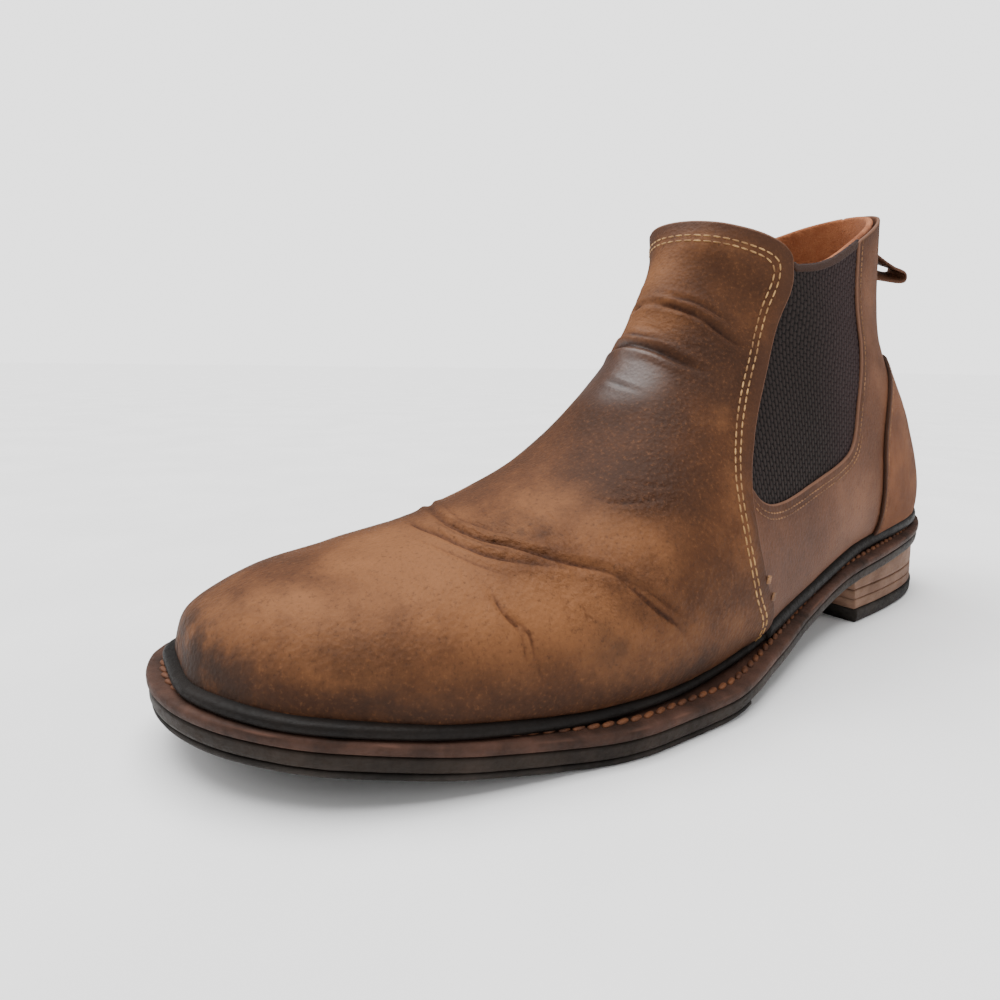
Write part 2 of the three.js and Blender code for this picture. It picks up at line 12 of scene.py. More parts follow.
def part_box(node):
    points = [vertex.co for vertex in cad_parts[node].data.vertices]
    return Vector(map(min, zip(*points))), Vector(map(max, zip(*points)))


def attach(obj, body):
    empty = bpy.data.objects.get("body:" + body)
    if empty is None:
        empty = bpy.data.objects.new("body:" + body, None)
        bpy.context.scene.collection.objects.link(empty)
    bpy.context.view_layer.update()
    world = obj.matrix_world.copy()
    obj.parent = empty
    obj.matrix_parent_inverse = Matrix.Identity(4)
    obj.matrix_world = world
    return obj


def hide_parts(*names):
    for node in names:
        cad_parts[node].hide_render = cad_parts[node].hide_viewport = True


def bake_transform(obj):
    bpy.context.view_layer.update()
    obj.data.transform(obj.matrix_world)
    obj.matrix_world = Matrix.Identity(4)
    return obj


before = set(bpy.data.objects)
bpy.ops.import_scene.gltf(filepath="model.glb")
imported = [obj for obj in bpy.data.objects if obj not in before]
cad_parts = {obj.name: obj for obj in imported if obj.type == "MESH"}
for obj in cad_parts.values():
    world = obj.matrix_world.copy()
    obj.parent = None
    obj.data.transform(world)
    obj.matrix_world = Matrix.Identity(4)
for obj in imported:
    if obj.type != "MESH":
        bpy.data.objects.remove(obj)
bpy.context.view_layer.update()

LOG = logging.getLogger("chelsea_boot")
MM = 0.001

Pair = tuple[float, float]
Curve = Callable[[np.ndarray], np.ndarray]


def monotone(pairs: Sequence[Pair]) -> Curve:
    """A smooth curve through (place, value) pairs that never swings past them.

    Args:
        pairs: Places in rising order, each with its value.

    Returns:
        A function of an array of places.
    """
    places, values = np.array(pairs, float).T
    slopes = np.diff(values) / np.diff(places)
    before = np.concatenate([slopes[:1], slopes])
    after = np.concatenate([slopes, slopes[-1:]])
    total = np.where(before + after == 0, 1, before + after)
    tangents = np.where(before * after <= 0, 0, 2 * before * after / total)

    def at(place: np.ndarray) -> np.ndarray:
        """The value at each place."""
        inside = np.clip(place, places[0], places[-1])
        k = np.clip(np.searchsorted(places, inside, side="right") - 1, 0, len(places) - 2)
        span = places[k + 1] - places[k]
        f = (inside - places[k]) / span
        return (values[k] * (1 + 2 * f) * (1 - f) ** 2 + values[k + 1] * f * f * (3 - 2 * f)
                + span * (tangents[k] * f * (1 - f) ** 2 - tangents[k + 1] * f * f * (1 - f)))

    return at


def spline(points: Sequence[Sequence[float]], steps: int = 8) -> np.ndarray:
    """Points on a smooth curve through the given ones.

    Args:
        points: The points to pass through, of any dimension.
        steps: How many points each stretch gets.

    Returns:
        The curve's points, one per row.
    """
    p = np.array(points, float)
    p = np.vstack([2 * p[0] - p[1], p, 2 * p[-1] - p[-2]])
    f = np.linspace(0, 1, steps, endpoint=False)[:, None]
    spans = [0.5 * (2 * b + (c - a) * f + (2 * a - 5 * b + 4 * c - d) * f ** 2
                    + (3 * b - a - 3 * c + d) * f ** 3)
             for a, b, c, d in zip(p[:-3], p[1:-2], p[2:-1], p[3:])]
    return np.vstack(spans + [p[-2:-1]])


def along(points: np.ndarray) -> np.ndarray:
    """Length from the first point to each point of a path."""
    return np.concatenate([[0], np.cumsum(np.linalg.norm(np.diff(points, axis=0), axis=1))])


def ring_faces(rings: int, sides: int, flipped: bool = False, closed: bool = False,
               capped: bool = True) -> list[tuple[int, ...]]:
    """Squares between rings of points laid one after another.

    Args:
        rings: Number of rings.
        sides: Points in each ring.
        flipped: Whether the faces turn the other way.
        closed: Whether the last ring joins the first.
        capped: Whether the two ends get a face each.

    Returns:
        The faces.
    """
    faces: list[tuple[int, ...]] = []
    for i in range(rings if closed else rings - 1):
        here, ahead = i * sides, (i + 1) % rings * sides
        for j in range(sides):
            k = (j + 1) % sides
            if flipped:
                faces.append((here + j, ahead + j, ahead + k, here + k))
            else:
                faces.append((here + j, here + k, ahead + k, ahead + j))
    if closed or not capped:
        return faces
    first = tuple(range(sides))
    last = tuple((rings - 1) * sides + j for j in range(sides))
    return faces + ([first, last[::-1]] if flipped else [first[::-1], last])


def resampled(points: np.ndarray, count: int) -> np.ndarray:
    """The same path through evenly spaced points; extra columns go along."""
    length = along(points[:, :3])
    wanted = np.linspace(0, length[-1], count)
    return np.column_stack([np.interp(wanted, length, column) for column in points.T])


def unit(vectors: np.ndarray) -> np.ndarray:
    """Each row at length one."""
    return vectors / np.maximum(np.linalg.norm(vectors, axis=1, keepdims=True), 1e-9)


# ---- The boot's shape, in millimetres: toe at -Y, outer side at +X ----


@dataclass
class Sole:
    """Outline and rise of the sole, which everything else stands on."""

    length: float = 310.0
    stack: float = 9.0
    toe_spring: float = 11.5
    heel_pitch: float = 22.8
    lateral: tuple[Pair, ...] = (
        (-155, -6), (-151, 12), (-142.5, 25), (-127, 38), (-105, 47), (-77, 53.5), (-50, 58.5),
        (-25, 58.5), (6, 51.5), (34, 43.5), (62, 38.5), (90, 36.5), (118, 32.5), (139, 25),
        (150.5, 15), (155, -3))
    medial: tuple[Pair, ...] = (
        (-155, -6), (-151, -23), (-142.5, -32), (-127, -41), (-105, -48.5), (-77, -53),
        (-50, -53.5), (-25, -50), (6, -42), (34, -36.5), (62, -36.5), (90, -38.5), (118, -37),
        (139, -30.5), (150.5, -21), (155, -3))
    spring_shares: tuple[Pair, ...] = (
        (-155, 1), (-124, 0.7), (-93, 0.27), (-62, 0), (-31, 0))
    pitch_shares: tuple[Pair, ...] = ((-9, 0.08), (31, 0.31), (74, 0.67), (155, 1))

    def __post_init__(self) -> None:
        """Prepares the curves."""
        self.rise = monotone([(y, v * self.toe_spring) for y, v in self.spring_shares]
                             + [(y, v * self.heel_pitch) for y, v in self.pitch_shares])
        self.outer = monotone([(float(self.turn(y)), x) for y, x in self.lateral])
        self.inner = monotone([(float(self.turn(y)), x) for y, x in self.medial])

    def turn(self, y: float) -> float:
        """Share of a half turn from toe tip to heel back at y."""
        return np.arccos(np.clip(-np.asarray(y) / (self.length / 2), -1, 1)) / math.pi

    def y_at(self, turn: np.ndarray) -> np.ndarray:
        """y at a share of the half turn."""
        return -np.cos(np.asarray(turn) * math.pi) * self.length / 2

    def seat(self, y: np.ndarray) -> np.ndarray:
        """Height of the welt's top face."""
        return self.stack + self.rise(y)

    def edge(self, turns: np.ndarray, side: int, inset: float) -> np.ndarray:
        """Points of the outline moved in square to it.

        Args:
            turns: Shares of the half turn.
            side: 1 for the outer side, -1 for the inner side.
            inset: How far in.

        Returns:
            Rows of x and y.
        """
        curve = self.outer if side > 0 else self.inner
        low, high = np.clip(turns - 0.002, 0, 1), np.clip(turns + 0.002, 0, 1)
        way = unit(np.column_stack([curve(high) - curve(low), self.y_at(high) - self.y_at(low)]))
        return np.column_stack([curve(turns) - side * way[:, 1] * inset,
                                self.y_at(turns) + side * way[:, 0] * inset])


SOLE = Sole()
SHIFT_X = sum(corner[0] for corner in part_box("welt")) / 2 / MM - (
    max(x for _, x in SOLE.lateral) + min(x for _, x in SOLE.medial)) / 2


def below_seat(depth: float) -> Curve:
    """Heights a depth below the welt's top face."""
    return lambda y: SOLE.seat(y) - depth


def level(height: float) -> Curve:
    """One height everywhere."""
    return lambda y: np.full_like(y, height)


@dataclass
class Patch:
    """A piece of surface: points, outward normals, extra numbers and faces."""

    points: np.ndarray
    normals: np.ndarray
    faces: list[tuple[int, ...]]
    place: np.ndarray

    def clipped(self, value: np.ndarray) -> "Patch":
        """Keeps the part where value is above zero, cut exactly on the zero line.

        Args:
            value: One number per point.

        Returns:
            The kept part.
        """
        data = np.hstack([self.points, self.normals, self.place])
        inside = value > 0
        rows: list[np.ndarray] = [data]
        count = len(data)
        cuts: dict[tuple[int, int], int] = {}
        faces: list[tuple[int, ...]] = []
        for face in self.faces:
            kept = [inside[i] for i in face]
            if all(kept):
                faces.append(face)
                continue
            if not any(kept):
                continue
            shape: list[int] = []
            for a, b in zip(face, face[1:] + face[:1]):
                if inside[a]:
                    shape.append(a)
                if inside[a] != inside[b]:
                    key = (min(a, b), max(a, b))
                    if key not in cuts:
                        f = value[a] / (value[a] - value[b])
                        rows.append((data[a] + (data[b] - data[a]) * f)[None])
                        cuts[key] = count
                        count += 1
                    shape.append(cuts[key])
            if len(shape) > 2:
                faces.append(tuple(shape))
        merged = np.vstack(rows)
        used = np.unique(np.concatenate([np.array(face) for face in faces]))
        order = np.zeros(len(merged), int)
        order[used] = np.arange(len(used))
        merged = merged[used]
        return Patch(merged[:, :3], unit(merged[:, 3:6]),
                     [tuple(int(order[i]) for i in face) for face in faces], merged[:, 6:])

    def cut(self, *limits: np.ndarray) -> "Patch":
        """Keeps the part where every limit is above zero."""
        return self.clipped(np.min(limits, axis=0))

    def contour(self, value: np.ndarray) -> list[np.ndarray]:
        """Lines where value passes zero.

        Args:
            value: One number per point.

        Returns:
            Paths whose rows hold a point and its normal, the longest first.
        """
        inside = value > 0
        data = np.hstack([self.points, self.normals])
        links: dict[tuple[int, int], list[tuple[int, int]]] = {}
        spots: dict[tuple[int, int], np.ndarray] = {}
        for face in self.faces:
            ends = []
            for a, b in zip(face, face[1:] + face[:1]):
                if inside[a] != inside[b]:
                    key = (min(a, b), max(a, b))
                    if key not in spots:
                        f = value[a] / (value[a] - value[b])
                        spots[key] = data[a] + (data[b] - data[a]) * f
                    ends.append(key)
            if len(ends) == 2:
                links.setdefault(ends[0], []).append(ends[1])
                links.setdefault(ends[1], []).append(ends[0])
        return chains(links, spots)

    def border(self) -> list[tuple[int, int]]:
        """Edges that belong to one face only."""
        seen: dict[tuple[int, int], list[tuple[int, int]]] = {}
        for face in self.faces:
            for a, b in zip(face, face[1:] + face[:1]):
                seen.setdefault((min(a, b), max(a, b)), []).append((a, b))
        return [edges[0] for edges in seen.values() if len(edges) == 1]

    def moved(self, distance: np.ndarray | float) -> np.ndarray:
        """The points moved out along their normals."""
        return self.points + self.normals * np.reshape(distance, (-1, 1))

    def raised(self, distance: np.ndarray | float) -> "Patch":
        """The same patch moved out along its normals."""
        return Patch(self.moved(distance), self.normals, self.faces, self.place)


def chains(links: dict, spots: dict) -> list[np.ndarray]:
    """Joins linked spots end to end.

    Args:
        links: Each spot's neighbours.
        spots: Each spot's row of numbers.

    Returns:
        Paths of rows, the longest first.
    """
    left = dict(links)
    paths = []
    while left:
        start = next((key for key, near in left.items() if len(near) == 1), next(iter(left)))
        path = [start]
        here = start
        closed = len(left[start]) == 2
        while True:
            near = left.pop(here, [])
            step = next((key for key in near if key in left), None)
            if step is None:
                if closed and start in near and len(path) > 2:
                    path.append(start)
                break
            path.append(step)
            here = step
        paths.append(np.array([spots[key] for key in path]))
    return sorted(paths, key=lambda path: -along(path[:, :3])[-1])


@dataclass
class FootForm:
    """The outer surface of the upper, as slices hinged about the instep.

    Columns of a station: ridge y and z, foot y and z (None stands on the sole), x of both
    ends, half widths to the outer and inner side, height share of the widest line, and
    roundness above and below it.
    """

    tuck: float = 6.0
    creased: tuple[int, ...] = (2, 3, 4, 5, 7, 8, 9, 10)
    stations: tuple[tuple, ...] = (
        (-148, 28, -148, 24, -6, 1, 1, 0.5, 2, 2),
        (-143.5, 36, -147.5, None, -5, 17, 14, 0.36, 2.1, 3),
        (-128, 43, -133, None, -2, 33, 27, 0.34, 2.2, 3.4),
        (-106, 46, -110, None, 0, 42.5, 39.5, 0.34, 2.2, 3.5),
        (-75.5, 52, -79.5, None, 0, 49.5, 46, 0.34, 2.1, 3.4),
        (-44, 66, -45, None, 0, 54, 46.5, 0.32, 1.95, 3.4),
        (-23, 86, -5, None, 0, 51, 42.5, 0.3, 1.8, 3.4),
        (-10, 103, 37, None, -1, 43.5, 37.5, 0.28, 1.75, 3.4),
        (-2, 117, 86, None, -1.5, 37.5, 36, 0.31, 1.85, 3.2),
        (4, 127, 142, None, -2.5, 34, 36, 0.4, 2, 3),
        (8, 135, 148, 57, -3.5, 31, 33.5, 0.52, 2.1, 2.5),
        (12, 144, 128, 100, -7.5, 30.5, 31.5, 0.54, 2.1, 2.1),
        (14, 153, 120, 156, -8.5, 31.5, 31, 0.54, 2.1, 2),
        (17, 172, 118, 180, -8.5, 31.5, 31, 0.54, 2.1, 2))

    def rows(self, spacing: float, coarse: float) -> np.ndarray:
        """Station values at slices that lie closest where the leather creases."""
        table = np.array([[float(SOLE.seat(s[2])) - self.tuck if v is None else v for v in s]
                          for s in self.stations], float)
        padded = np.vstack([2 * table[0] - table[1], table, 2 * table[-1] - table[-2]])
        fine = []
        for i, (a, b, c, d) in enumerate(zip(padded[:-3], padded[1:-2], padded[2:-1], padded[3:])):
            gap = max(math.dist(b[:2], c[:2]), min(math.dist(b[2:4], c[2:4]), 50), abs(b[5] - c[5]))
            step = spacing if i in self.creased else coarse
            f = np.linspace(0, 1, max(2, round(gap / step)), endpoint=False)[:, None]
            fine.append(0.5 * (2 * b + (c - a) * f + (2 * a - 5 * b + 4 * c - d) * f ** 2
                               + (3 * b - a - 3 * c + d) * f ** 3))
        return np.vstack(fine + [table[-1:]])

    def surface(self, spacing: float, coarse: float, around: int) -> Patch:
        """The form as a fine grid of squares.

        Args:
            spacing: Distance between slices in the creased areas.
            coarse: Distance between the other slices.
            around: Points round each slice, an even number.

        Returns:
            The grid, with the slice number and the place round it as extra numbers.
        """
        rows = self.rows(spacing, coarse)
        angle = np.linspace(0, 2 * math.pi, 721)
        cos, sin = np.cos(angle), np.sin(angle)
        grid = np.empty((len(rows), around, 3))
        for i, (ry, rz, fy, fz, mid, outer, inner, belly, crown, tuck) in enumerate(rows):
            power = 2 / np.where(cos >= 0, crown, tuck)
            rising = np.abs(cos) ** power
            share = np.where(cos >= 0, belly + (1 - belly) * rising, belly * (1 - rising))
            width = np.where(sin >= 0, outer, -inner) * np.abs(sin) ** power
            ring = np.column_stack([mid + width, fy + (ry - fy) * share, fz + (rz - fz) * share])
            half = around // 2 + 1
            first = resampled(ring[:361], half)
            second = resampled(ring[360:], half)
            grid[i] = np.vstack([first[:-1], second[:-1]])
        down = np.gradient(grid, axis=0)
        round_ = np.roll(grid, -1, axis=1) - np.roll(grid, 1, axis=1)
        normals = np.cross(down, round_)
        outward = ((grid - grid.mean(axis=1, keepdims=True)) * normals).sum(axis=2, keepdims=True)
        normals = np.where(outward.mean() < 0, -normals, normals)
        faces = ring_faces(len(rows), around, capped=False)
        place = np.stack(np.meshgrid(np.arange(len(rows)), np.arange(around), indexing="ij"),
                         axis=-1)
        return Patch(grid.reshape(-1, 3), unit(normals.reshape(-1, 3)), faces,
                     place.reshape(-1, 2).astype(float))


# ---- Side-view patterns, as y and z ----

LOW, HIGH, FRONT, BACK = -50.0, 230.0, -210.0, 210.0
FAR_FROM_EDGE = 9.0
VAMP_EDGE = spline(((6, 2), (4, 22), (-2, 33), (-4, 44), (-1, 57), (8, 71), (27, 99), (43, 127)))
FLAP_TOP = spline(((43, 127), (42.6, 130.5), (40, 133.2), (34, 135.6), (24, 138.3), (12, 140.6),
                   (-10, 143)))
REAR_TOP = spline(((43, 127), (53, 128), (62, 130.5), (70, 134), (78, 138), (90, 143.5), (105, 150),
                   (120, 155.5), (150, 164)))
GORE_LOW = ((4, 54.5), (12, 52.2), (24, 53), (41, 56.7), (58, 61), (66, 65), (70, 71),
            (72.5, 79), (76, 92), (78.5, 108), (78.5, 126), (78, 138))
PATCH_EDGE = ((91, 10), (90, 40), (91, 62), (94.5, 77), (101, 89), (113, 98), (150, 101))


def side_distance(outline: np.ndarray, points: np.ndarray) -> np.ndarray:
    """Distance in the side view to a closed outline, positive inside it.

    Args:
        outline: Rows of y and z.
        points: Rows of x, y and z.

    Returns:
        One signed distance per point.
    """
    a = np.array(outline, float)
    b = np.roll(a, -1, axis=0)
    y, z = points[:, 1], points[:, 2]
    best = np.full(len(points), np.inf)
    inside = np.zeros(len(points), bool)
    for (ay, az), (by, bz) in zip(a, b):
        dy, dz = by - ay, bz - az
        f = np.clip(((y - ay) * dy + (z - az) * dz) / max(dy * dy + dz * dz, 1e-9), 0, 1)
        best = np.minimum(best, np.hypot(y - ay - f * dy, z - az - f * dz))
        if az != bz:
            inside ^= ((az > z) != (bz > z)) & (y < ay + (z - az) * dy / dz)
    return np.where(inside, best, -best)


ABOVE_COLLAR = np.vstack([[(FRONT, HIGH), (FRONT, 143)], FLAP_TOP[::-1], REAR_TOP[1:],
                          [(BACK, HIGH)]])
VAMP_AREA = np.vstack([[(FRONT, LOW)], VAMP_EDGE, [(43, HIGH), (FRONT, HIGH)]])
PATCH_AREA = np.vstack([spline(PATCH_EDGE), [(BACK, 104), (BACK, LOW)]])
GRIP_AREA = ((88, LOW), (88, 40), (97, 66), (104, 78), (BACK, 84), (BACK, LOW))


def seam_x(z: np.ndarray) -> np.ndarray:
    """x of the back seam at a height."""
    return monotone(((20, -3), (50, -3), (100, -7.5), (180, -8.5)))(z)


def gore_field(points: np.ndarray, grown: float) -> np.ndarray:
    """Distance inside the elastic's window, whose front runs on under the vamp."""
    front = VAMP_EDGE[VAMP_EDGE[:, 1] > 67][::-1] - (4, 0)
    outline = np.vstack([[(39, HIGH)], front, spline(((-4, 66), (0, 60), *GORE_LOW)), [(78, HIGH)]])
    return side_distance(outline, points) + grown


def below_flap(points: np.ndarray) -> np.ndarray:
    """Distance below the place where the elastic meets the front flap."""
    return np.where(points[:, 1] < 46, 127.8 - points[:, 2], 99.0)


@dataclass(frozen=True)
class Fold:
    """A crease worn into the leather: a groove along a path, with raised shoulders."""

    path: tuple[tuple[float, float, float], ...]
    depth: float
    width: float

    def amount(self, points: np.ndarray) -> tuple[np.ndarray, np.ndarray]:
        """How near each point lies to the groove and to its shoulders.

        Args:
            points: Rows of x, y and z.

        Returns:
            Two numbers from 0 to 1 for each point.
        """
        line = spline(self.path, 4)
        reach = along(line)
        best = np.full(len(points), np.inf)
        place = np.zeros(len(points))
        for a, b, start in zip(line[:-1], line[1:], reach):
            step = b - a
            f = np.clip((points - a) @ step / max(step @ step, 1e-9), 0, 1)
            gap = np.linalg.norm(points - a - f[:, None] * step, axis=1)
            nearer = gap < best
            best = np.where(nearer, gap, best)
            place = np.where(nearer, start + f * np.linalg.norm(step), place)
        fade = np.sin(np.pi * np.clip(place / reach[-1], 0.02, 0.98)) ** 0.6
        groove = np.exp(-(best / self.width) ** 2) * fade
        shoulder = np.exp(-((best - 2.1 * self.width) / (1.2 * self.width)) ** 2) * fade
        return groove, shoulder


@dataclass(frozen=True)
class Blot:
    """A soft-edged area of the leather with its own look."""

    centre: tuple[float, float, float]
    radius: tuple[float, float, float]
    strength: float = 1.0

    def amount(self, points: np.ndarray) -> np.ndarray:
        """Strength at each point."""
        away = (points - self.centre) / self.radius
        return self.strength * np.exp(-(away ** 2).sum(axis=1))


def strongest(blots: Sequence[Blot], points: np.ndarray) -> np.ndarray:
    """The strongest of several blots at each point."""
    return np.max([blot.amount(points) for blot in blots], axis=0)


FOLDS = (
    Fold(((-28, -2, 112), (-12, 4, 117), (4, 0, 115), (12, 5, 113), (18, 12, 108), (21, 16, 104)),
         0.5, 1.0),
    Fold(((-22, -6, 108), (-8, -4, 112), (8, -1, 112), (14, 5, 108), (20, 10, 103), (23, 18, 97)),
         1.0, 1.1),
    Fold(((-26, -6, 96), (-6, -11, 100), (2, -11, 100), (10, -9, 98), (16, -6, 95), (22, -1, 92)),
         1.6, 1.4),
    Fold(((-10, -7, 103), (2, -10, 103), (11, -7, 101)), 0.6, 0.9),
    Fold(((-2, -20, 89), (4, -21, 88), (10, -20, 86), (15, -19, 85)), 0.5, 0.8),
    Fold(((20, -50, 60), (30, -46, 57), (36, -38, 58), (39, -28, 58)), 0.4, 0.8),
    Fold(((24, -42, 62), (34, -34, 61), (39, -24, 60)), 0.35, 0.7),
    Fold(((-40, -60, 40), (-26, -70, 48), (-12, -77, 50), (6, -81, 50), (19, -79, 49),
          (25, -75, 48), (36, -67, 46), (43, -57, 43), (47, -52, 40), (51, -46, 36),
          (53, -40, 30), (53, -36, 25)), 1.5, 1.05),
    Fold(((-22, -82, 46), (-3, -87, 49), (10, -86, 49), (20, -84, 48), (28, -79, 46),
          (39, -66, 44), (43, -60, 42)), 1.0, 0.9),
    Fold(((-14, -73, 52), (4, -77, 51), (17, -75, 50), (25, -71, 49), (33, -66, 48)), 0.7, 0.8),
    Fold(((-30, -66, 47), (-14, -79, 51), (6, -83.5, 50), (19, -81.5, 48.6), (27, -76.8, 47),
          (38, -66.5, 44.5), (44, -58.5, 42)), 0.45, 0.6),
    Fold(((4, -91, 48), (16, -89.5, 47), (27, -85, 45), (36, -78, 43)), 0.5, 0.7),
    Fold(((16, -71.5, 51), (27, -67, 49), (36, -60, 46.5), (44, -53, 43)), 0.5, 0.7),
    Fold(((42, -58, 43), (48, -53, 39), (52, -48, 34), (53, -42, 29), (54, -36, 21)), 1.0, 0.8),
    Fold(((47, -46, 41), (50, -42, 36), (52, -38, 31)), 0.6, 0.7),
    Fold(((44, -64, 39), (48, -60, 34), (51, -56, 28), (52, -52, 22)), 0.5, 0.7),
    Fold(((32, -86, 42), (40, -86, 38), (43, -84, 34), (46, -84, 29), (48, -83, 23),
          (49, -83, 20)), 0.9, 0.8),
    Fold(((40, -85, 37), (45, -82, 33), (48, -82, 28), (50, -80, 20)), 0.6, 0.8),
    Fold(((41, -71, 41), (45, -71, 36), (48, -73, 30)), 0.45, 0.7),
    Fold(((40, -69, 42), (45, -67, 37), (50, -67, 32)), 0.5, 0.7),
    Fold(((46, -77, 31), (48, -76, 26), (49, -75, 20)), 0.4, 0.7),
    Fold(((-46, -70, 36), (-47, -66, 28), (-47, -64, 22)), 0.7, 1.2),
)
SHINE = (
    Blot((-2, -18, 92), (22, 13, 15), 1.0),
    Blot((24, 2, 86), (14, 20, 18), 0.25),
    Blot((18, -22, 78), (22, 18, 18), 0.12),
    Blot((30, 20, 70), (10, 18, 22), 0.12),
)
SCUFF = (
    Blot((2, -147, 24), (34, 14, 14), 0.9),
    Blot((50, -62, 28), (12, 11, 9), 0.4),
    Blot((54, -32, 18), (9, 14, 9), 0.5),
    Blot((40, -112, 22), (14, 18, 8), 0.4),
    Blot((24, -68, 51), (16, 9, 6), 0.45),
    Blot((40, 20, 30), (12, 12, 12), 0.3),
)
PALE = (
    Blot((20, -96, 47), (34, 22, 10), 0.8),
    Blot((44, -76, 36), (14, 18, 12), 0.75),
    Blot((10, -56, 60), (20, 16, 10), 0.15),
    Blot((38, -46, 50), (14, 18, 10), 0.45),
    Blot((-4, 2, 124), (12, 12, 10), 0.6),
    Blot((2, -6, 106), (14, 9, 5), 0.4),
)
DARK = (
    Blot((20, 16, 122), (16, 18, 16), 0.5),
    Blot((22, 2, 94), (20, 26, 16), 1.0),
    Blot((14, -24, 80), (30, 22, 16), 1.0),
    Blot((28, -34, 62), (24, 20, 13), 0.95),
    Blot((34, 4, 60), (14, 30, 26), 0.45),
    Blot((50, -30, 34), (16, 34, 20), 0.45),
    Blot((34, -122, 30), (24, 24, 12), 0.6),
    Blot((4, -136, 36), (24, 14, 8), 0.35),
    Blot((-30, -20, 80), (22, 40, 40), 0.6),
)
FLEX = (
    Blot((26, -72, 48), (30, 12, 12), 1.0),
    Blot((48, -56, 38), (12, 20, 14), 0.9),
    Blot((10, 0, 104), (26, 16, 14), 0.6),
    Blot((34, -38, 58), (14, 16, 8), 0.7),
    Blot((-26, -70, 44), (24, 16, 16), 0.8),
)


def shaken(points: np.ndarray, size: float, seed: float) -> np.ndarray:
    """Smooth noise from -1 to 1 at each point.

    Args:
        points: Rows of x, y and z.
        size: Rough width of a swell.
        seed: Moves the pattern.

    Returns:
        One number per point.
    """
    spots = points / size + seed
    return np.array([noise.noise(Vector(spot)) for spot in spots])


@dataclass
class Upper:
    """The worn outer face of the upper, from which the leather pieces are cut."""

    spacing: float = 0.95
    coarse: float = 1.6
    around: int = 236
    form: FootForm = field(default_factory=FootForm)

    def __post_init__(self) -> None:
        """Lays out the smooth form and the worn one."""
        self.smooth = self.form.surface(self.spacing, self.coarse, self.around)
        points, normals = self.smooth.points, self.smooth.normals
        groove = np.zeros(len(points))
        move = 0.3 * shaken(points, 22.0, 3.1) + 0.12 * shaken(points, 7.0, 8.4)
        for fold in FOLDS:
            near, beside = fold.amount(points)
            groove = np.maximum(groove, near * min(1.0, 0.3 + fold.depth))
            move += fold.depth * (0.45 * beside - near)
        # The groove depth rides along as the patch's extra number; it later sets the painted shade in
        # the creases.
        self.worn = Patch(points + normals * move[:, None], normals, self.smooth.faces,
                          groove[:, None])
        self.worn.normals = self.turned(self.worn)

    def turned(self, patch: Patch) -> np.ndarray:
        """Normals of the worn face, taken from its squares."""
        faces = np.array(patch.faces)
        p = patch.points
        square = np.cross(p[faces[:, 2]] - p[faces[:, 0]], p[faces[:, 3]] - p[faces[:, 1]])
        total = np.zeros_like(p)
        for corner in range(4):
            np.add.at(total, faces[:, corner], square)
        return unit(total)

    @staticmethod
    def vamp_edge(points: np.ndarray) -> np.ndarray:
        """Distance inside the vamp's cut edge, whose corner is rounded."""
        behind = side_distance(VAMP_AREA, points)
        above = -side_distance(ABOVE_COLLAR, points)
        return (behind + above - np.sqrt((behind - above) ** 2 + 40)) / 2

    @staticmethod
    def collar(points: np.ndarray) -> np.ndarray:
        """Distance below the collar line."""
        return -side_distance(ABOVE_COLLAR, points)

    @staticmethod
    def foot(points: np.ndarray) -> np.ndarray:
        """Height above the welt."""
        return points[:, 2] - SOLE.seat(points[:, 1]) - 0.5


def shell(patch: Patch, outer: np.ndarray | float, inner: np.ndarray | float, steps: int = 4
          ) -> tuple[np.ndarray, list[tuple[int, ...]], np.ndarray]:
    """A layer of leather with rounded edges.

    Args:
        patch: The face it follows.
        outer: How far its outer side lies above the face.
        inner: How far its inner side lies below the face.
        steps: Faces round the edge.

    Returns:
        Points, faces, and for each point the patch's point that it comes from.
    """
    n = len(patch.points)
    top, low = patch.moved(outer), patch.moved(-inner)
    border = patch.border()
    out = np.zeros_like(patch.points)
    for a, b in border:
        way = np.cross(patch.points[b] - patch.points[a], patch.normals[a])
        out[a] += way
        out[b] += way
    rim = np.unique(np.array(border))
    slot = {int(v): i for i, v in enumerate(rim)}
    way = unit(out[rim])
    middle = (top[rim] + low[rim]) / 2
    half = (top[rim] - low[rim]) / 2
    radius = np.linalg.norm(half, axis=1, keepdims=True)
    turns = [math.pi * k / steps for k in range(1, steps)]
    rings = [middle + half * math.cos(a) + way * radius * math.sin(a) * 0.8 for a in turns]

    def at(level: int, v: int) -> int:
        """Index of a rim point at a level, from the outer side in."""
        if level == 0:
            return v
        return n + v if level == steps else 2 * n + (level - 1) * len(rim) + slot[v]

    faces = list(patch.faces) + [tuple(n + v for v in reversed(face)) for face in patch.faces]
    for a, b in border:
        faces += [(at(k, b), at(k, a), at(k + 1, a), at(k + 1, b)) for k in range(steps)]
    return (np.vstack([top, low, *rings]), faces,
            np.concatenate([np.arange(n), np.arange(n), np.tile(rim, steps - 1)]))


def mesh_piece(name: str, points: np.ndarray, faces: list, marks: dict[str, np.ndarray] | None = None
               ) -> bpy.types.Object:
    """A mesh object from points in millimetres.

    Args:
        name: The piece's name.
        points: Rows of x, y and z.
        faces: Rows of point numbers.
        marks: Numbers per point that the finishes read.

    Returns:
        The object.
    """
    mesh = bpy.data.meshes.new(name)
    placed = (points + (SHIFT_X, 0, 0)) * MM
    mesh.from_pydata(placed.tolist(), [], [tuple(map(int, face)) for face in faces])
    for label, values in (marks or {}).items():
        mark = mesh.attributes.new(label, "FLOAT", "POINT")
        mark.data.foreach_set("value", np.asarray(values, np.float32))
    mesh.shade_smooth()
    piece = bpy.data.objects.new(name, mesh)
    bpy.context.scene.collection.objects.link(piece)
    return piece


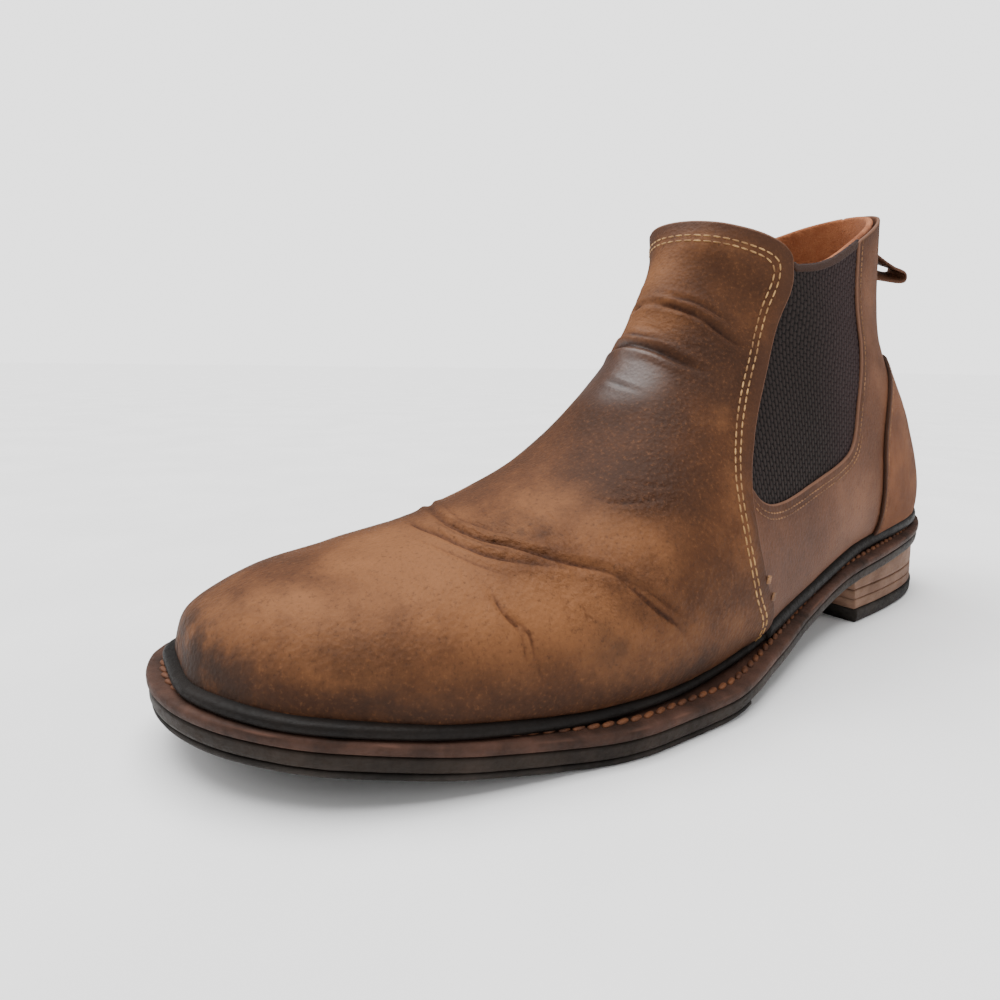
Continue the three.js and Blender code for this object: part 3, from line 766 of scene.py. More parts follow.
def finished(piece: bpy.types.Object, material: bpy.types.Material, nodes: Sequence[str] = (),
             body: str = "root") -> bpy.types.Object:
    """Gives a piece its finish, its body and the solids that it stands for.

    Args:
        piece: The object.
        material: Its finish.
        nodes: Solids that it replaces.
        body: The body that it moves with.

    Returns:
        The same object.
    """
    piece.data.materials.clear()
    piece.data.materials.append(material)
    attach(piece, body)
    if nodes:
        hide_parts(*nodes)
    LOG.info("%s: %d faces", piece.name, len(piece.data.polygons))
    return piece


def small_marks(edge: np.ndarray, **levels: float) -> dict[str, np.ndarray]:
    """Marks of a small leather piece.

    Args:
        edge: Distance from the cut edge at each point.
        levels: The level of a mark all over the piece; the others are zero.

    Returns:
        Marks for every point of the mesh.
    """
    labels = ("shine", "scuff", "pale", "crease", "dark", "flex")
    return {"edge": edge} | {label: np.full(len(edge), levels.get(label, 0.0))
                             for label in labels}


@dataclass(frozen=True)
class Thread:
    """Sewing thread: stitch size in millimetres."""

    pitch: float
    length: float
    width: float
    height: float
    skew: float = 0.0

    def row(self, path: np.ndarray) -> tuple[np.ndarray, list]:
        """Stitches along a path.

        Args:
            path: Rows of a point and its normal.

        Returns:
            Points and faces.
        """
        count = max(2, round(along(path[:, :3])[-1] / self.pitch))
        spots = resampled(path, 2 * count + 1)
        here, ahead, before = spots[1::2], spots[2::2], spots[:-1:2]
        way = unit(ahead[:, :3] - before[:, :3])
        up = unit(here[:, 3:6])
        side = unit(np.cross(up, way))
        way = unit(way + side * self.skew)
        side = unit(np.cross(up, way))
        rings, sides = 7, 8
        base = []
        for i in range(rings):
            t = math.pi * (i + 0.5) / rings
            for j in range(sides):
                a = 2 * math.pi * j / sides
                base.append((-math.cos(t) * self.length / 2,
                             math.sin(t) ** 0.6 * math.cos(a) * self.width / 2,
                             math.sin(t) ** 0.6 * math.sin(a) * self.height / 2))
        base = np.array(base)
        points = (here[:, None, :3] + way[:, None] * base[None, :, :1]
                  + side[:, None] * base[None, :, 1:2] + up[:, None] * base[None, :, 2:])
        stitch = ring_faces(rings, sides)
        faces = [tuple(k * len(base) + v for v in face) for k in range(count) for face in stitch]
        return points.reshape(-1, 3), faces

    def rows(self, paths: Sequence[np.ndarray]) -> tuple[np.ndarray, list]:
        """Stitches along several paths, as one set."""
        points, faces, count = [], [], 0
        for path in paths:
            more, squares = self.row(path)
            points.append(more)
            faces += [tuple(v + count for v in face) for face in squares]
            count += len(more)
        return np.vstack(points), faces


def sew(name: str, thread: Thread, paths: Sequence[np.ndarray], finish: bpy.types.Material
        ) -> None:
    """Makes the stitches of one seam.

    Args:
        name: The piece's name.
        thread: The size of its stitches.
        paths: The rows that they follow.
        finish: The thread's finish.
    """
    points, faces = thread.rows(paths)
    finished(mesh_piece(name, points, faces), finish)


# ---- Finishes ----

Colour = tuple[float, float, float, float]


def tone(red: int, green: int, blue: int) -> Colour:
    """A display colour, 0 to 255 a channel, as the shader's linear colour."""
    linear = [((c / 255 + 0.055) / 1.055) ** 2.4 if c > 10 else c / 255 / 12.92
              for c in (red, green, blue)]
    return (*linear, 1.0)


class Blend(Enum):
    """Ways to lay one colour over another."""

    OVER = "MIX"
    DARKEN = "MULTIPLY"


class Finish:
    """A material under construction, with the steps that the finishes share."""

    def __init__(self, name: str) -> None:
        """Starts a material.

        Args:
            name: The material's name.
        """
        self.material = bpy.data.materials.new(name)
        self.material.use_nodes = True
        self.tree = self.material.node_tree
        self.shader = next(n for n in self.tree.nodes if n.type == "BSDF_PRINCIPLED")
        self.place = self.tree.nodes.new("ShaderNodeTexCoord").outputs["Object"]

    def add(self, kind: str, **values: object) -> bpy.types.Node:
        """Adds a node with its settings.

        Args:
            kind: The node's type.
            values: Its properties.

        Returns:
            The node.
        """
        node = self.tree.nodes.new(kind)
        for key, value in values.items():
            setattr(node, key, value)
        return node

    def join(self, source: bpy.types.NodeSocket, target: bpy.types.NodeSocket) -> None:
        """Links two sockets."""
        self.tree.links.new(source, target)

    def cloud(self, size: float, detail: float = 3.0, rough: float = 0.55,
              stretch: tuple[float, float, float] = (1, 1, 1)) -> bpy.types.NodeSocket:
        """Noise whose swells are about size millimetres wide."""
        mapping = self.add("ShaderNodeMapping")
        mapping.inputs["Scale"].default_value = stretch
        self.join(self.place, mapping.inputs["Vector"])
        node = self.add("ShaderNodeTexNoise")
        node.inputs["Scale"].default_value = 1 / (size * MM)
        node.inputs["Detail"].default_value = detail
        node.inputs["Roughness"].default_value = rough
        self.join(mapping.outputs["Vector"], node.inputs["Vector"])
        return node.outputs["Fac"]

    def cells(self, size: float, rim: bool = False) -> bpy.types.NodeSocket:
        """Distance pattern of cells about size millimetres wide."""
        node = self.add("ShaderNodeTexVoronoi", feature="DISTANCE_TO_EDGE" if rim else "F1")
        node.inputs["Scale"].default_value = 1 / (size * MM)
        self.join(self.place, node.inputs["Vector"])
        return node.outputs["Distance"]

    def mark(self, label: str) -> bpy.types.NodeSocket:
        """A number stored on the mesh's points."""
        return self.add("ShaderNodeAttribute", attribute_name=label).outputs["Fac"]

    def range(self, value: bpy.types.NodeSocket, low: float, high: float, to_low: float = 0.0,
              to_high: float = 1.0) -> bpy.types.NodeSocket:
        """A value remapped smoothly from one range to another and held inside it."""
        node = self.add("ShaderNodeMapRange", interpolation_type="SMOOTHSTEP")
        for label, number in (("From Min", low), ("From Max", high), ("To Min", to_low),
                              ("To Max", to_high)):
            node.inputs[label].default_value = number
        self.join(value, node.inputs["Value"])
        return node.outputs["Result"]

    def times(self, a: bpy.types.NodeSocket, b: bpy.types.NodeSocket) -> bpy.types.NodeSocket:
        """Product of two values."""
        node = self.add("ShaderNodeMath", operation="MULTIPLY")
        self.join(a, node.inputs[0])
        self.join(b, node.inputs[1])
        return node.outputs["Value"]

    def ramp(self, value: bpy.types.NodeSocket, *stops: tuple[float, Colour]) -> bpy.types.NodeSocket:
        """Colours along a value."""
        node = self.add("ShaderNodeValToRGB")
        band = node.color_ramp
        band.elements[0].position, band.elements[0].color = stops[0]
        band.elements[1].position, band.elements[1].color = stops[-1]
        for at, colour in stops[1:-1]:
            band.elements.new(at).color = colour
        self.join(value, node.inputs["Fac"])
        return node.outputs["Color"]

    def lay(self, under: bpy.types.NodeSocket, over: Colour | bpy.types.NodeSocket,
            share: bpy.types.NodeSocket, how: Blend = Blend.OVER) -> bpy.types.NodeSocket:
        """One colour over another by a share.

        Args:
            under: The colour below.
            over: The colour above, fixed or from a node.
            share: How much of it shows.
            how: The way it mixes.

        Returns:
            The mixed colour.
        """
        node = self.add("ShaderNodeMix", data_type="RGBA", blend_type=how.value)
        self.join(share, node.inputs["Factor"])
        self.join(under, node.inputs[6])
        if isinstance(over, tuple):
            node.inputs[7].default_value = over
        else:
            self.join(over, node.inputs[7])
        return node.outputs[2]

    def relief(self, height: bpy.types.NodeSocket, depth: float, strength: float = 1.0,
               under: bpy.types.NodeSocket | None = None) -> bpy.types.NodeSocket:
        """Fine relief from a height pattern.

        Args:
            height: The pattern.
            depth: Its depth in millimetres.
            strength: How strongly it shows.
            under: Relief that it lies on.

        Returns:
            The bent normal.
        """
        node = self.add("ShaderNodeBump")
        node.inputs["Distance"].default_value = depth * MM
        node.inputs["Strength"].default_value = strength
        self.join(height, node.inputs["Height"])
        if under is not None:
            self.join(under, node.inputs["Normal"])
        return node.outputs["Normal"]

    def done(self, colour: bpy.types.NodeSocket, roughness: bpy.types.NodeSocket | float,
             normal: bpy.types.NodeSocket | None = None, **sockets: object) -> bpy.types.Material:
        """Connects the shader and gives the material.

        Args:
            colour: Base colour.
            roughness: A fixed number or a socket.
            normal: Relief.
            sockets: Other shader inputs by name, with _ for a space.

        Returns:
            The material.
        """
        self.join(colour, self.shader.inputs["Base Color"])
        if isinstance(roughness, float):
            self.shader.inputs["Roughness"].default_value = roughness
        else:
            self.join(roughness, self.shader.inputs["Roughness"])
        if normal is not None:
            self.join(normal, self.shader.inputs["Normal"])
        for label, value in sockets.items():
            self.shader.inputs[label.replace("_", " ")].default_value = value
        return self.material


@dataclass(frozen=True)
class WornLeather:
    """Oiled pull-up leather: mottled brown, dark where it is rubbed, with painted shade along its
    creases.
    """

    name: str
    deep: Colour = tone(55, 31, 16)
    middle: Colour = tone(84, 50, 27)
    light: Colour = tone(132, 86, 52)
    grain: float = 0.16
    roughness: float = 0.66

    def build(self) -> bpy.types.Material:
        """Makes the material."""
        f = Finish(self.name)
        broad = f.cloud(46, 4, 0.6)
        colour = f.ramp(broad, (0.32, self.deep), (0.5, self.middle), (0.68, self.light))
        patchy = f.cloud(9, 5, 0.62)
        colour = f.lay(colour, self.deep, f.range(patchy, 0.5, 0.72, 0.0, 0.28))
        fine = f.cloud(1.1, 4, 0.7)
        colour = f.lay(colour, self.light, f.range(f.mark("pale"), 0.0, 0.9, 0.0, 0.9))
        dark = f.times(f.range(f.mark("dark"), 0.0, 0.9), f.range(patchy, 0.3, 0.6, 0.7, 1.0))
        colour = f.lay(colour, self.deep, dark)
        colour = f.lay(colour, self.light, f.range(fine, 0.52, 0.74, 0.0, 0.34))
        colour = f.lay(colour, tone(40, 23, 13), f.range(fine, 0.48, 0.26, 0.0, 0.5))
        scuffed = f.times(f.range(f.mark("scuff"), 0.05, 0.8), f.range(patchy, 0.36, 0.62, 0.15, 1.0))
        colour = f.lay(colour, tone(46, 31, 23), scuffed)
        shine = f.range(f.mark("shine"), 0.08, 0.9)
        colour = f.lay(colour, tone(58, 35, 24), f.times(shine, f.range(patchy, 0.28, 0.6, 0.5, 0.9)))
        # Painted shade in the creases: the crease mark, broken up by fine noise, darkens the colour.
        # The share named worn below is this painted shade.
        crease = f.range(f.mark("crease"), 0.22, 0.85)
        worn = f.times(crease, f.range(fine, 0.2, 0.7, 1.0, 0.7))
        colour = f.lay(colour, tone(148, 128, 114), worn, Blend.DARKEN)
        rim = f.range(f.mark("edge"), 7.0, 0.0, 0.0, 0.75)
        colour = f.lay(colour, tone(66, 41, 28), f.times(rim, f.range(patchy, 0.3, 0.6, 0.6, 1.0)))
        cut = f.range(f.mark("edge"), 0.35, -0.1, 0.0, 0.9)
        colour = f.lay(colour, tone(118, 84, 66), cut)
        rough = f.range(shine, 0.0, 1.0, self.roughness, 0.4)
        f.join(f.range(shine, 0.0, 1.0, 0.0, 0.45), f.shader.inputs["Coat Weight"])
        normal = f.relief(f.cells(1.3), self.grain)
        normal = f.relief(fine, 0.22, 0.8, normal)
        normal = f.relief(patchy, 0.5, 0.35, normal)
        cracks = f.cloud(2.6, 4, 0.6, (0.35, 1.1, 1.2))
        normal = f.relief(f.times(cracks, f.range(f.mark("flex"), 0.1, 0.8)), 1.1, 1.0, normal)
        return f.done(colour, rough, normal, Specular_IOR_Level=0.17, Coat_Roughness=0.36)


@dataclass(frozen=True)
class Suede:
    """Napped leather, mottled by rubbing."""

    name: str
    deep: Colour
    light: Colour
    nap: float = 0.5

    def build(self) -> bpy.types.Material:
        """Makes the material."""
        f = Finish(self.name)
        broad = f.cloud(13, 5, 0.65)
        colour = f.ramp(broad, (0.3, self.deep), (0.7, self.light))
        fine = f.cloud(0.7, 4, 0.75)
        colour = f.lay(colour, self.deep, f.range(fine, 0.5, 0.25, 0.0, 0.55))
        colour = f.lay(colour, self.light, f.range(fine, 0.55, 0.8, 0.0, 0.6))
        colour = f.lay(colour, tone(52, 32, 22), f.range(f.mark("edge"), 1.6, 0.0, 0.0, 0.85))
        normal = f.relief(fine, self.nap)
        normal = f.relief(broad, 0.8, 0.4, normal)
        return f.done(colour, 0.95, normal, Specular_IOR_Level=0.08, Sheen_Weight=0.08,
                      Sheen_Roughness=0.6)


@dataclass(frozen=True)
class Elastic:
    """Woven elastic, with painted shade between its ribs and a painted sheen on their tops."""

    name: str

    def build(self) -> bpy.types.Material:
        """Makes the material."""
        f = Finish(self.name)
        weave = f.mark("weave")
        fine = f.cloud(0.5, 3, 0.7, (1, 1, 0.3))
        # Painted shade and sheen: the colour runs from nearly black in the gaps between ribs to
        # lighter grey on the rib tops.
        colour = f.ramp(weave, (0.1, tone(8, 6, 6)), (0.55, tone(26, 21, 20)),
                        (0.95, tone(44, 36, 34)))
        colour = f.lay(colour, tone(70, 52, 54), f.range(f.mark("rear"), 0.0, 1.0, 0.0, 0.3))
        colour = f.lay(colour, tone(16, 12, 12), f.range(fine, 0.5, 0.3, 0.0, 0.5))
        normal = f.relief(fine, 0.2)
        return f.done(colour, 0.65, normal, Specular_IOR_Level=0.14)


@dataclass(frozen=True)
class Rubbed:
    """A smooth dark material with scuffs and dust, for soles, rands and rubber."""

    name: str
    base: Colour
    worn: Colour
    roughness: float = 0.5
    scuffs: float = 0.5
    lines: float = 0.0

    def build(self) -> bpy.types.Material:
        """Makes the material."""
        f = Finish(self.name)
        broad = f.cloud(16, 5, 0.62)
        colour = f.ramp(broad, (0.35, self.base), (0.85, self.worn))
        dust = f.cloud(1.6, 6, 0.75)
        colour = f.lay(colour, self.worn, f.range(dust, 0.56, 0.78, 0.0, self.scuffs))
        scratch = f.cloud(2.4, 5, 0.7, (0.4, 0.4, 2.6))
        colour = f.lay(colour, self.worn, f.range(scratch, 0.58, 0.74, 0.0, self.scuffs))
        colour = f.lay(colour, self.worn, f.range(f.mark("wear"), 0.25, 1.0, 0.0, 0.9))
        normal = f.relief(dust, 0.15)
        normal = f.relief(scratch, 0.25, 0.5, normal)
        if self.lines:
            grain = f.cloud(1.5, 3, 0.6, (0.12, 0.12, 1.0))
            colour = f.lay(colour, self.base, f.range(grain, 0.42, 0.6, 0.0, self.lines))
            normal = f.relief(grain, 0.25, 0.6, normal)
        rough = f.range(dust, 0.4, 0.75, self.roughness, min(1.0, self.roughness + 0.25))
        return f.done(colour, rough, normal, Specular_IOR_Level=0.16)


@dataclass(frozen=True)
class Yarn:
    """Waxed sewing thread, soiled unevenly."""

    name: str
    clean: Colour
    soiled: Colour

    def build(self) -> bpy.types.Material:
        """Makes the material."""
        f = Finish(self.name)
        grime = f.cloud(6, 3, 0.6)
        colour = f.ramp(grime, (0.35, self.soiled), (0.62, self.clean))
        twist = f.cloud(0.35, 2, 0.5)
        colour = f.lay(colour, self.soiled, f.range(twist, 0.5, 0.3, 0.0, 0.6))
        return f.done(colour, 0.65, f.relief(twist, 0.1), Specular_IOR_Level=0.3)


@dataclass(frozen=True)
class Inner:
    """Cloth, board, cork, foam, brass or steel inside the boot."""

    name: str
    base: Colour
    fleck: Colour
    size: float
    roughness: float = 0.8
    metallic: float = 0.0

    def build(self) -> bpy.types.Material:
        """Makes the material."""
        f = Finish(self.name)
        flecks = f.cells(self.size)
        colour = f.ramp(flecks, (0.25, self.base), (0.75, self.fleck))
        fine = f.cloud(self.size / 2, 4, 0.7)
        colour = f.lay(colour, self.fleck, f.range(fine, 0.5, 0.75, 0.0, 0.5))
        return f.done(colour, self.roughness, f.relief(fine, 0.12), Metallic=self.metallic)


# ---- Upper ----


class Side(Enum):
    """The two sides of the boot, as the sign of x."""

    LATERAL = 1
    MEDIAL = -1

    @property
    def label(self) -> str:
        """The side's name inside piece names."""
        return self.name.lower()


@dataclass
class LeatherUpper:
    """The vamp, quarters, elastic, counter patch and their sewing."""

    upper: Upper
    proud: float = 0.85
    overlap: float = 11.0
    vamp_thickness: float = 1.9
    quarter_thickness: float = 1.2
    gore_depth: float = 1.25
    gore_thickness: float = 1.0
    binding_width: float = 1.4
    tape: Pair = (0.75, 2.6)
    underlap: float = 3.5
    patch_rise: float = 1.25
    patch_row: float = 1.9
    vamp_rows: Pair = (5.0, 6.9)
    tack_heights: Pair = (34.0, 28.0)
    quarter_rows: tuple[Pair, Pair] = ((2.2, HIGH), (3.9, 70.0))
    lining: Pair = (2.35, 4.75)
    grip: Pair = (2.5, 4.9)
    cloth: Pair = (1.95, 2.3)
    cream: Thread = Thread(3.1, 2.4, 0.62, 0.55)
    fine: Thread = Thread(1.9, 1.35, 0.5, 0.4)
    tight: Thread = Thread(0.6, 0.9, 2.7, 0.8)

    def marks(self, points: np.ndarray, source: np.ndarray, edge: np.ndarray, crease: np.ndarray
              ) -> dict[str, np.ndarray]:
        """Numbers for the leather's finish.

        Args:
            points: The patch's points.
            source: The patch's point for each of the mesh's points.
            edge: Distance from the cut edge.
            crease: Depth in a crease, which sets the painted shade along the creases.

        Returns:
            Marks for every point of the mesh.
        """
        rim = np.arange(len(source)) >= len(points)
        found = {"shine": strongest(SHINE, points), "scuff": strongest(SCUFF, points),
                 "pale": strongest(PALE, points), "dark": self.darkened(points),
                 "flex": strongest(FLEX, points), "crease": crease, "edge": edge}
        spread = {label: values[source] for label, values in found.items()}
        spread["edge"] = np.where(rim, -0.2, spread["edge"])
        return spread

    @staticmethod
    def darkened(points: np.ndarray) -> np.ndarray:
        """How much darker each point is made: more near the sole, more towards the toe, and in the
        DARK blots.
        """
        near_sole = np.exp(-np.maximum(points[:, 2] - SOLE.seat(points[:, 1]) - 5, 0) / 11)
        sides = near_sole * np.clip((40 - points[:, 1]) / 60, 0.3, 1)
        return np.maximum(sides, strongest(DARK, points))

    def vamp(self, leather: bpy.types.Material, thread: bpy.types.Material,
             tack_thread: bpy.types.Material) -> None:
        """The one-piece front with its flap and its double row of stitches.

        Args:
            leather: Its finish.
            thread: The finish of its rows of stitches.
            tack_thread: The finish of its bar tacks.
        """
        worn = self.upper.worn
        inside = np.minimum(Upper.vamp_edge(worn.points), Upper.foot(worn.points))
        patch = worn.clipped(inside)
        edge = Upper.vamp_edge(patch.points)
        rear = side_distance(VAMP_AREA, patch.points)
        lift = self.proud * np.exp(-(np.maximum(rear, 0) / self.overlap) ** 2)
        depth = np.clip((rear - 5) / 8, 0, 1) * self.vamp_thickness
        inner = np.where(rear < 9, 0.15 - lift, 0) + depth
        points, faces, source = shell(patch, lift, inner)
        marks = self.marks(patch.points, source, edge, patch.place[:, 0])
        finished(mesh_piece("vamp_leather", points, faces, marks), leather, ("vamp",))
        top = patch.raised(lift)
        seam = [top.contour(edge - inset)[0] for inset in self.vamp_rows]
        sew("vamp_stitches", self.cream, seam, thread)
        tacks = [self.tack(top, rear, side, height) for side in Side
                 for height in self.tack_heights]
        sew("vamp_bar_tacks", self.tight, tacks, tack_thread)

    @staticmethod
    def tack(top: Patch, rear: np.ndarray, side: Side, height: float) -> np.ndarray:
        """Path of a bar tack over the vamp's rear edge.

        Args:
            top: The vamp's outer face.
            rear: Distance inside the rear edge.
            side: Outer or inner side.
            height: Its height.

        Returns:
            Rows of a point and its normal.
        """
        across = top.points[:, 0] * side.value < 0
        away = np.abs(top.points[:, 2] - height) + 3 * np.abs(rear) + 99 * across
        spot = int(np.argmin(away))
        up = np.array((0.0, 0.25, 1.0))
        offsets = np.linspace(-1.1, 1.1, 5)[:, None] * up
        base = top.points[spot] + (0, 0.4, 0) + top.normals[spot] * 0.1
        return np.hstack([base + offsets, np.tile(top.normals[spot], (5, 1))])

    def quarter(self, side: Side, leather: bpy.types.Material, thread: bpy.types.Material) -> None:
        """One rear side panel.

        Args:
            side: Outer or inner side.
            leather: Its finish.
            thread: Its sewing.
        """
        worn = self.upper.worn

        def window(points: np.ndarray) -> np.ndarray:
            """Distance outside the elastic's window."""
            return -gore_field(points, 0)

        def half(points: np.ndarray) -> np.ndarray:
            """Distance on this side of the back seam."""
            return side.value * (points[:, 0] - seam_x(points[:, 2])) - 0.35

        p = worn.points
        patch = worn.cut(Upper.collar(p), window(p), self.underlap - side_distance(VAMP_AREA, p),
                         half(p), Upper.foot(p))
        q = patch.points
        edge = np.minimum(np.minimum(window(q), Upper.collar(q)), half(q) + 1.5)
        points, faces, source = shell(patch, 0.0, self.quarter_thickness)
        marks = self.marks(q, source, edge, patch.place[:, 0])
        finished(mesh_piece(f"quarter_{side.label}_leather", points, faces, marks), leather,
                 (f"quarter_{side.label}",))
        paths = []
        for inset, top in self.quarter_rows:
            row = patch.contour(window(q) - inset)[0]
            clear = side_distance(VAMP_AREA, row[:, :3]) < -1.2
            paths.append(row[clear & (row[:, 2] < top)])
        sew(f"quarter_{side.label}_stitches", self.fine, paths, thread)

    def gore(self, side: Side, elastic: bpy.types.Material) -> None:
        """One elastic side panel with its woven ribs.

        Args:
            side: Outer or inner side.
            elastic: Its finish.
        """
        smooth = self.upper.smooth
        p = smooth.points
        patch = smooth.cut(gore_field(p, 2.0), Upper.collar(p) + 0.2, side.value * (p[:, 0] + 5),
                           below_flap(p))
        points, faces, _ = shell(patch, -self.gore_depth, self.gore_depth + self.gore_thickness)
        piece = mesh_piece(f"gore_{side.label}_elastic", points, faces)
        self.weave(piece)
        finished(piece, elastic, (f"gore_{side.label}",))

    @staticmethod
    def weave(piece: bpy.types.Object) -> None:
        """Divides the elastic finely and raises its woven cells."""
        divide = piece.modifiers.new("divide", "SUBSURF")
        divide.subdivision_type = "SIMPLE"
        divide.levels = 2
        bpy.context.view_layer.objects.active = piece
        bpy.ops.object.modifier_apply(modifier=divide.name)
        mesh = piece.data
        count = len(mesh.vertices)
        spots = np.zeros(count * 3)
        mesh.vertices.foreach_get("co", spots)
        spots = spots.reshape(-1, 3)
        ways = np.zeros(count * 3)
        mesh.vertices.foreach_get("normal", ways)
        ways = ways.reshape(-1, 3)
        y, z = spots[:, 1] / MM, spots[:, 2] / MM
        across = (y - 0.15 * (z - 60)) / 1.65
        column = np.floor(across)
        up = (z + 0.1 * (y - 40)) / 2.7 + 0.5 * (column % 2)
        beside = np.abs(across - column - 0.5) / 0.5
        above = np.abs(up - np.floor(up) - 0.5) / 0.5
        rib = np.clip(1.25 - beside ** 2.4 - 0.95 * above ** 3, 0, 1) ** 0.7
        spots += ways * ((rib - 0.5) * 0.5 * MM)[:, None]
        mesh.vertices.foreach_set("co", spots.ravel())
        # The rib height is also kept as the weave mark, which sets the painted shade and sheen of the
        # elastic.
        for label, values in (("weave", rib), ("rear", np.clip((y - 42) / 30, 0, 1))):
            mark = mesh.attributes.new(label, "FLOAT", "POINT")
            mark.data.foreach_set("value", values.astype(np.float32))
        mesh.update()

    def binding(self, side: Side, tape: bpy.types.Material) -> None:
        """The folded tape along the top of one elastic.

        Args:
            side: Outer or inner side.
            tape: Its finish.
        """
        smooth = self.upper.smooth
        p = smooth.points
        patch = smooth.cut(gore_field(p, -0.3), Upper.collar(p), side.value * (p[:, 0] + 5),
                           self.binding_width - Upper.collar(p), below_flap(p))
        points, faces, _ = shell(patch, -self.tape[0], self.tape[1])
        finished(mesh_piece(f"gore_binding_{side.label}_tape", points, faces), tape,
                 (f"gore_binding_{side.label}",))

    def counter_patch(self, suede: bpy.types.Material, thread: bpy.types.Material) -> None:
        """The suede patch round the heel."""
        worn = self.upper.worn
        patch = worn.cut(side_distance(PATCH_AREA, worn.points), Upper.foot(worn.points))
        edge = side_distance(PATCH_AREA, patch.points)
        points, faces, source = shell(patch, self.patch_rise, -0.1)
        finished(mesh_piece("counter_patch_suede", points, faces, {"edge": edge[source]}), suede,
                 ("counter_patch",))
        seam = patch.raised(self.patch_rise).contour(edge - self.patch_row)[:1]
        sew("counter_patch_stitches", self.fine, seam, thread)

    def linings(self, suede: bpy.types.Material, grip: bpy.types.Material,
                cloth: bpy.types.Material) -> None:
        """The inside: suede at the front and both sides, the heel grip and the backing cloth.

        Args:
            suede: The finish of the linings.
            grip: The finish of the heel grip.
            cloth: The finish of the cloth behind the vamp.
        """
        smooth = self.upper.smooth
        p = smooth.points
        collar = Upper.collar(p)
        front = side_distance(VAMP_AREA, p)
        heel = side_distance(GRIP_AREA, p)
        foot = Upper.foot(p) - 1
        seam = p[:, 0] - seam_x(p[:, 2])
        rear = [collar - 0.4, -front - 0.2, foot, -heel - 0.15]
        rounded = Upper.vamp_edge(p) - 0.2
        layers = (
            ("vamp_lining", suede, self.lining, [collar - 0.4, front - 0.2, rounded, foot]),
            ("quarter_lining_lateral", suede, self.lining, [*rear, seam - 0.2]),
            ("quarter_lining_medial", suede, self.lining, [*rear, -seam - 0.2]),
            ("heel_grip", grip, self.grip, [heel, foot]),
            ("vamp_interlining", cloth, self.cloth, [collar - 4, front - 3, foot]),
        )
        for node, material, (near, far), limits in layers:
            patch = smooth.cut(*limits)
            points, faces, _ = shell(patch, -near, far)
            edge = {"edge": np.full(len(points), FAR_FROM_EDGE)}
            finished(mesh_piece(f"{node}_layer", points, faces, edge), material, (node,))


# ---- Sole ----


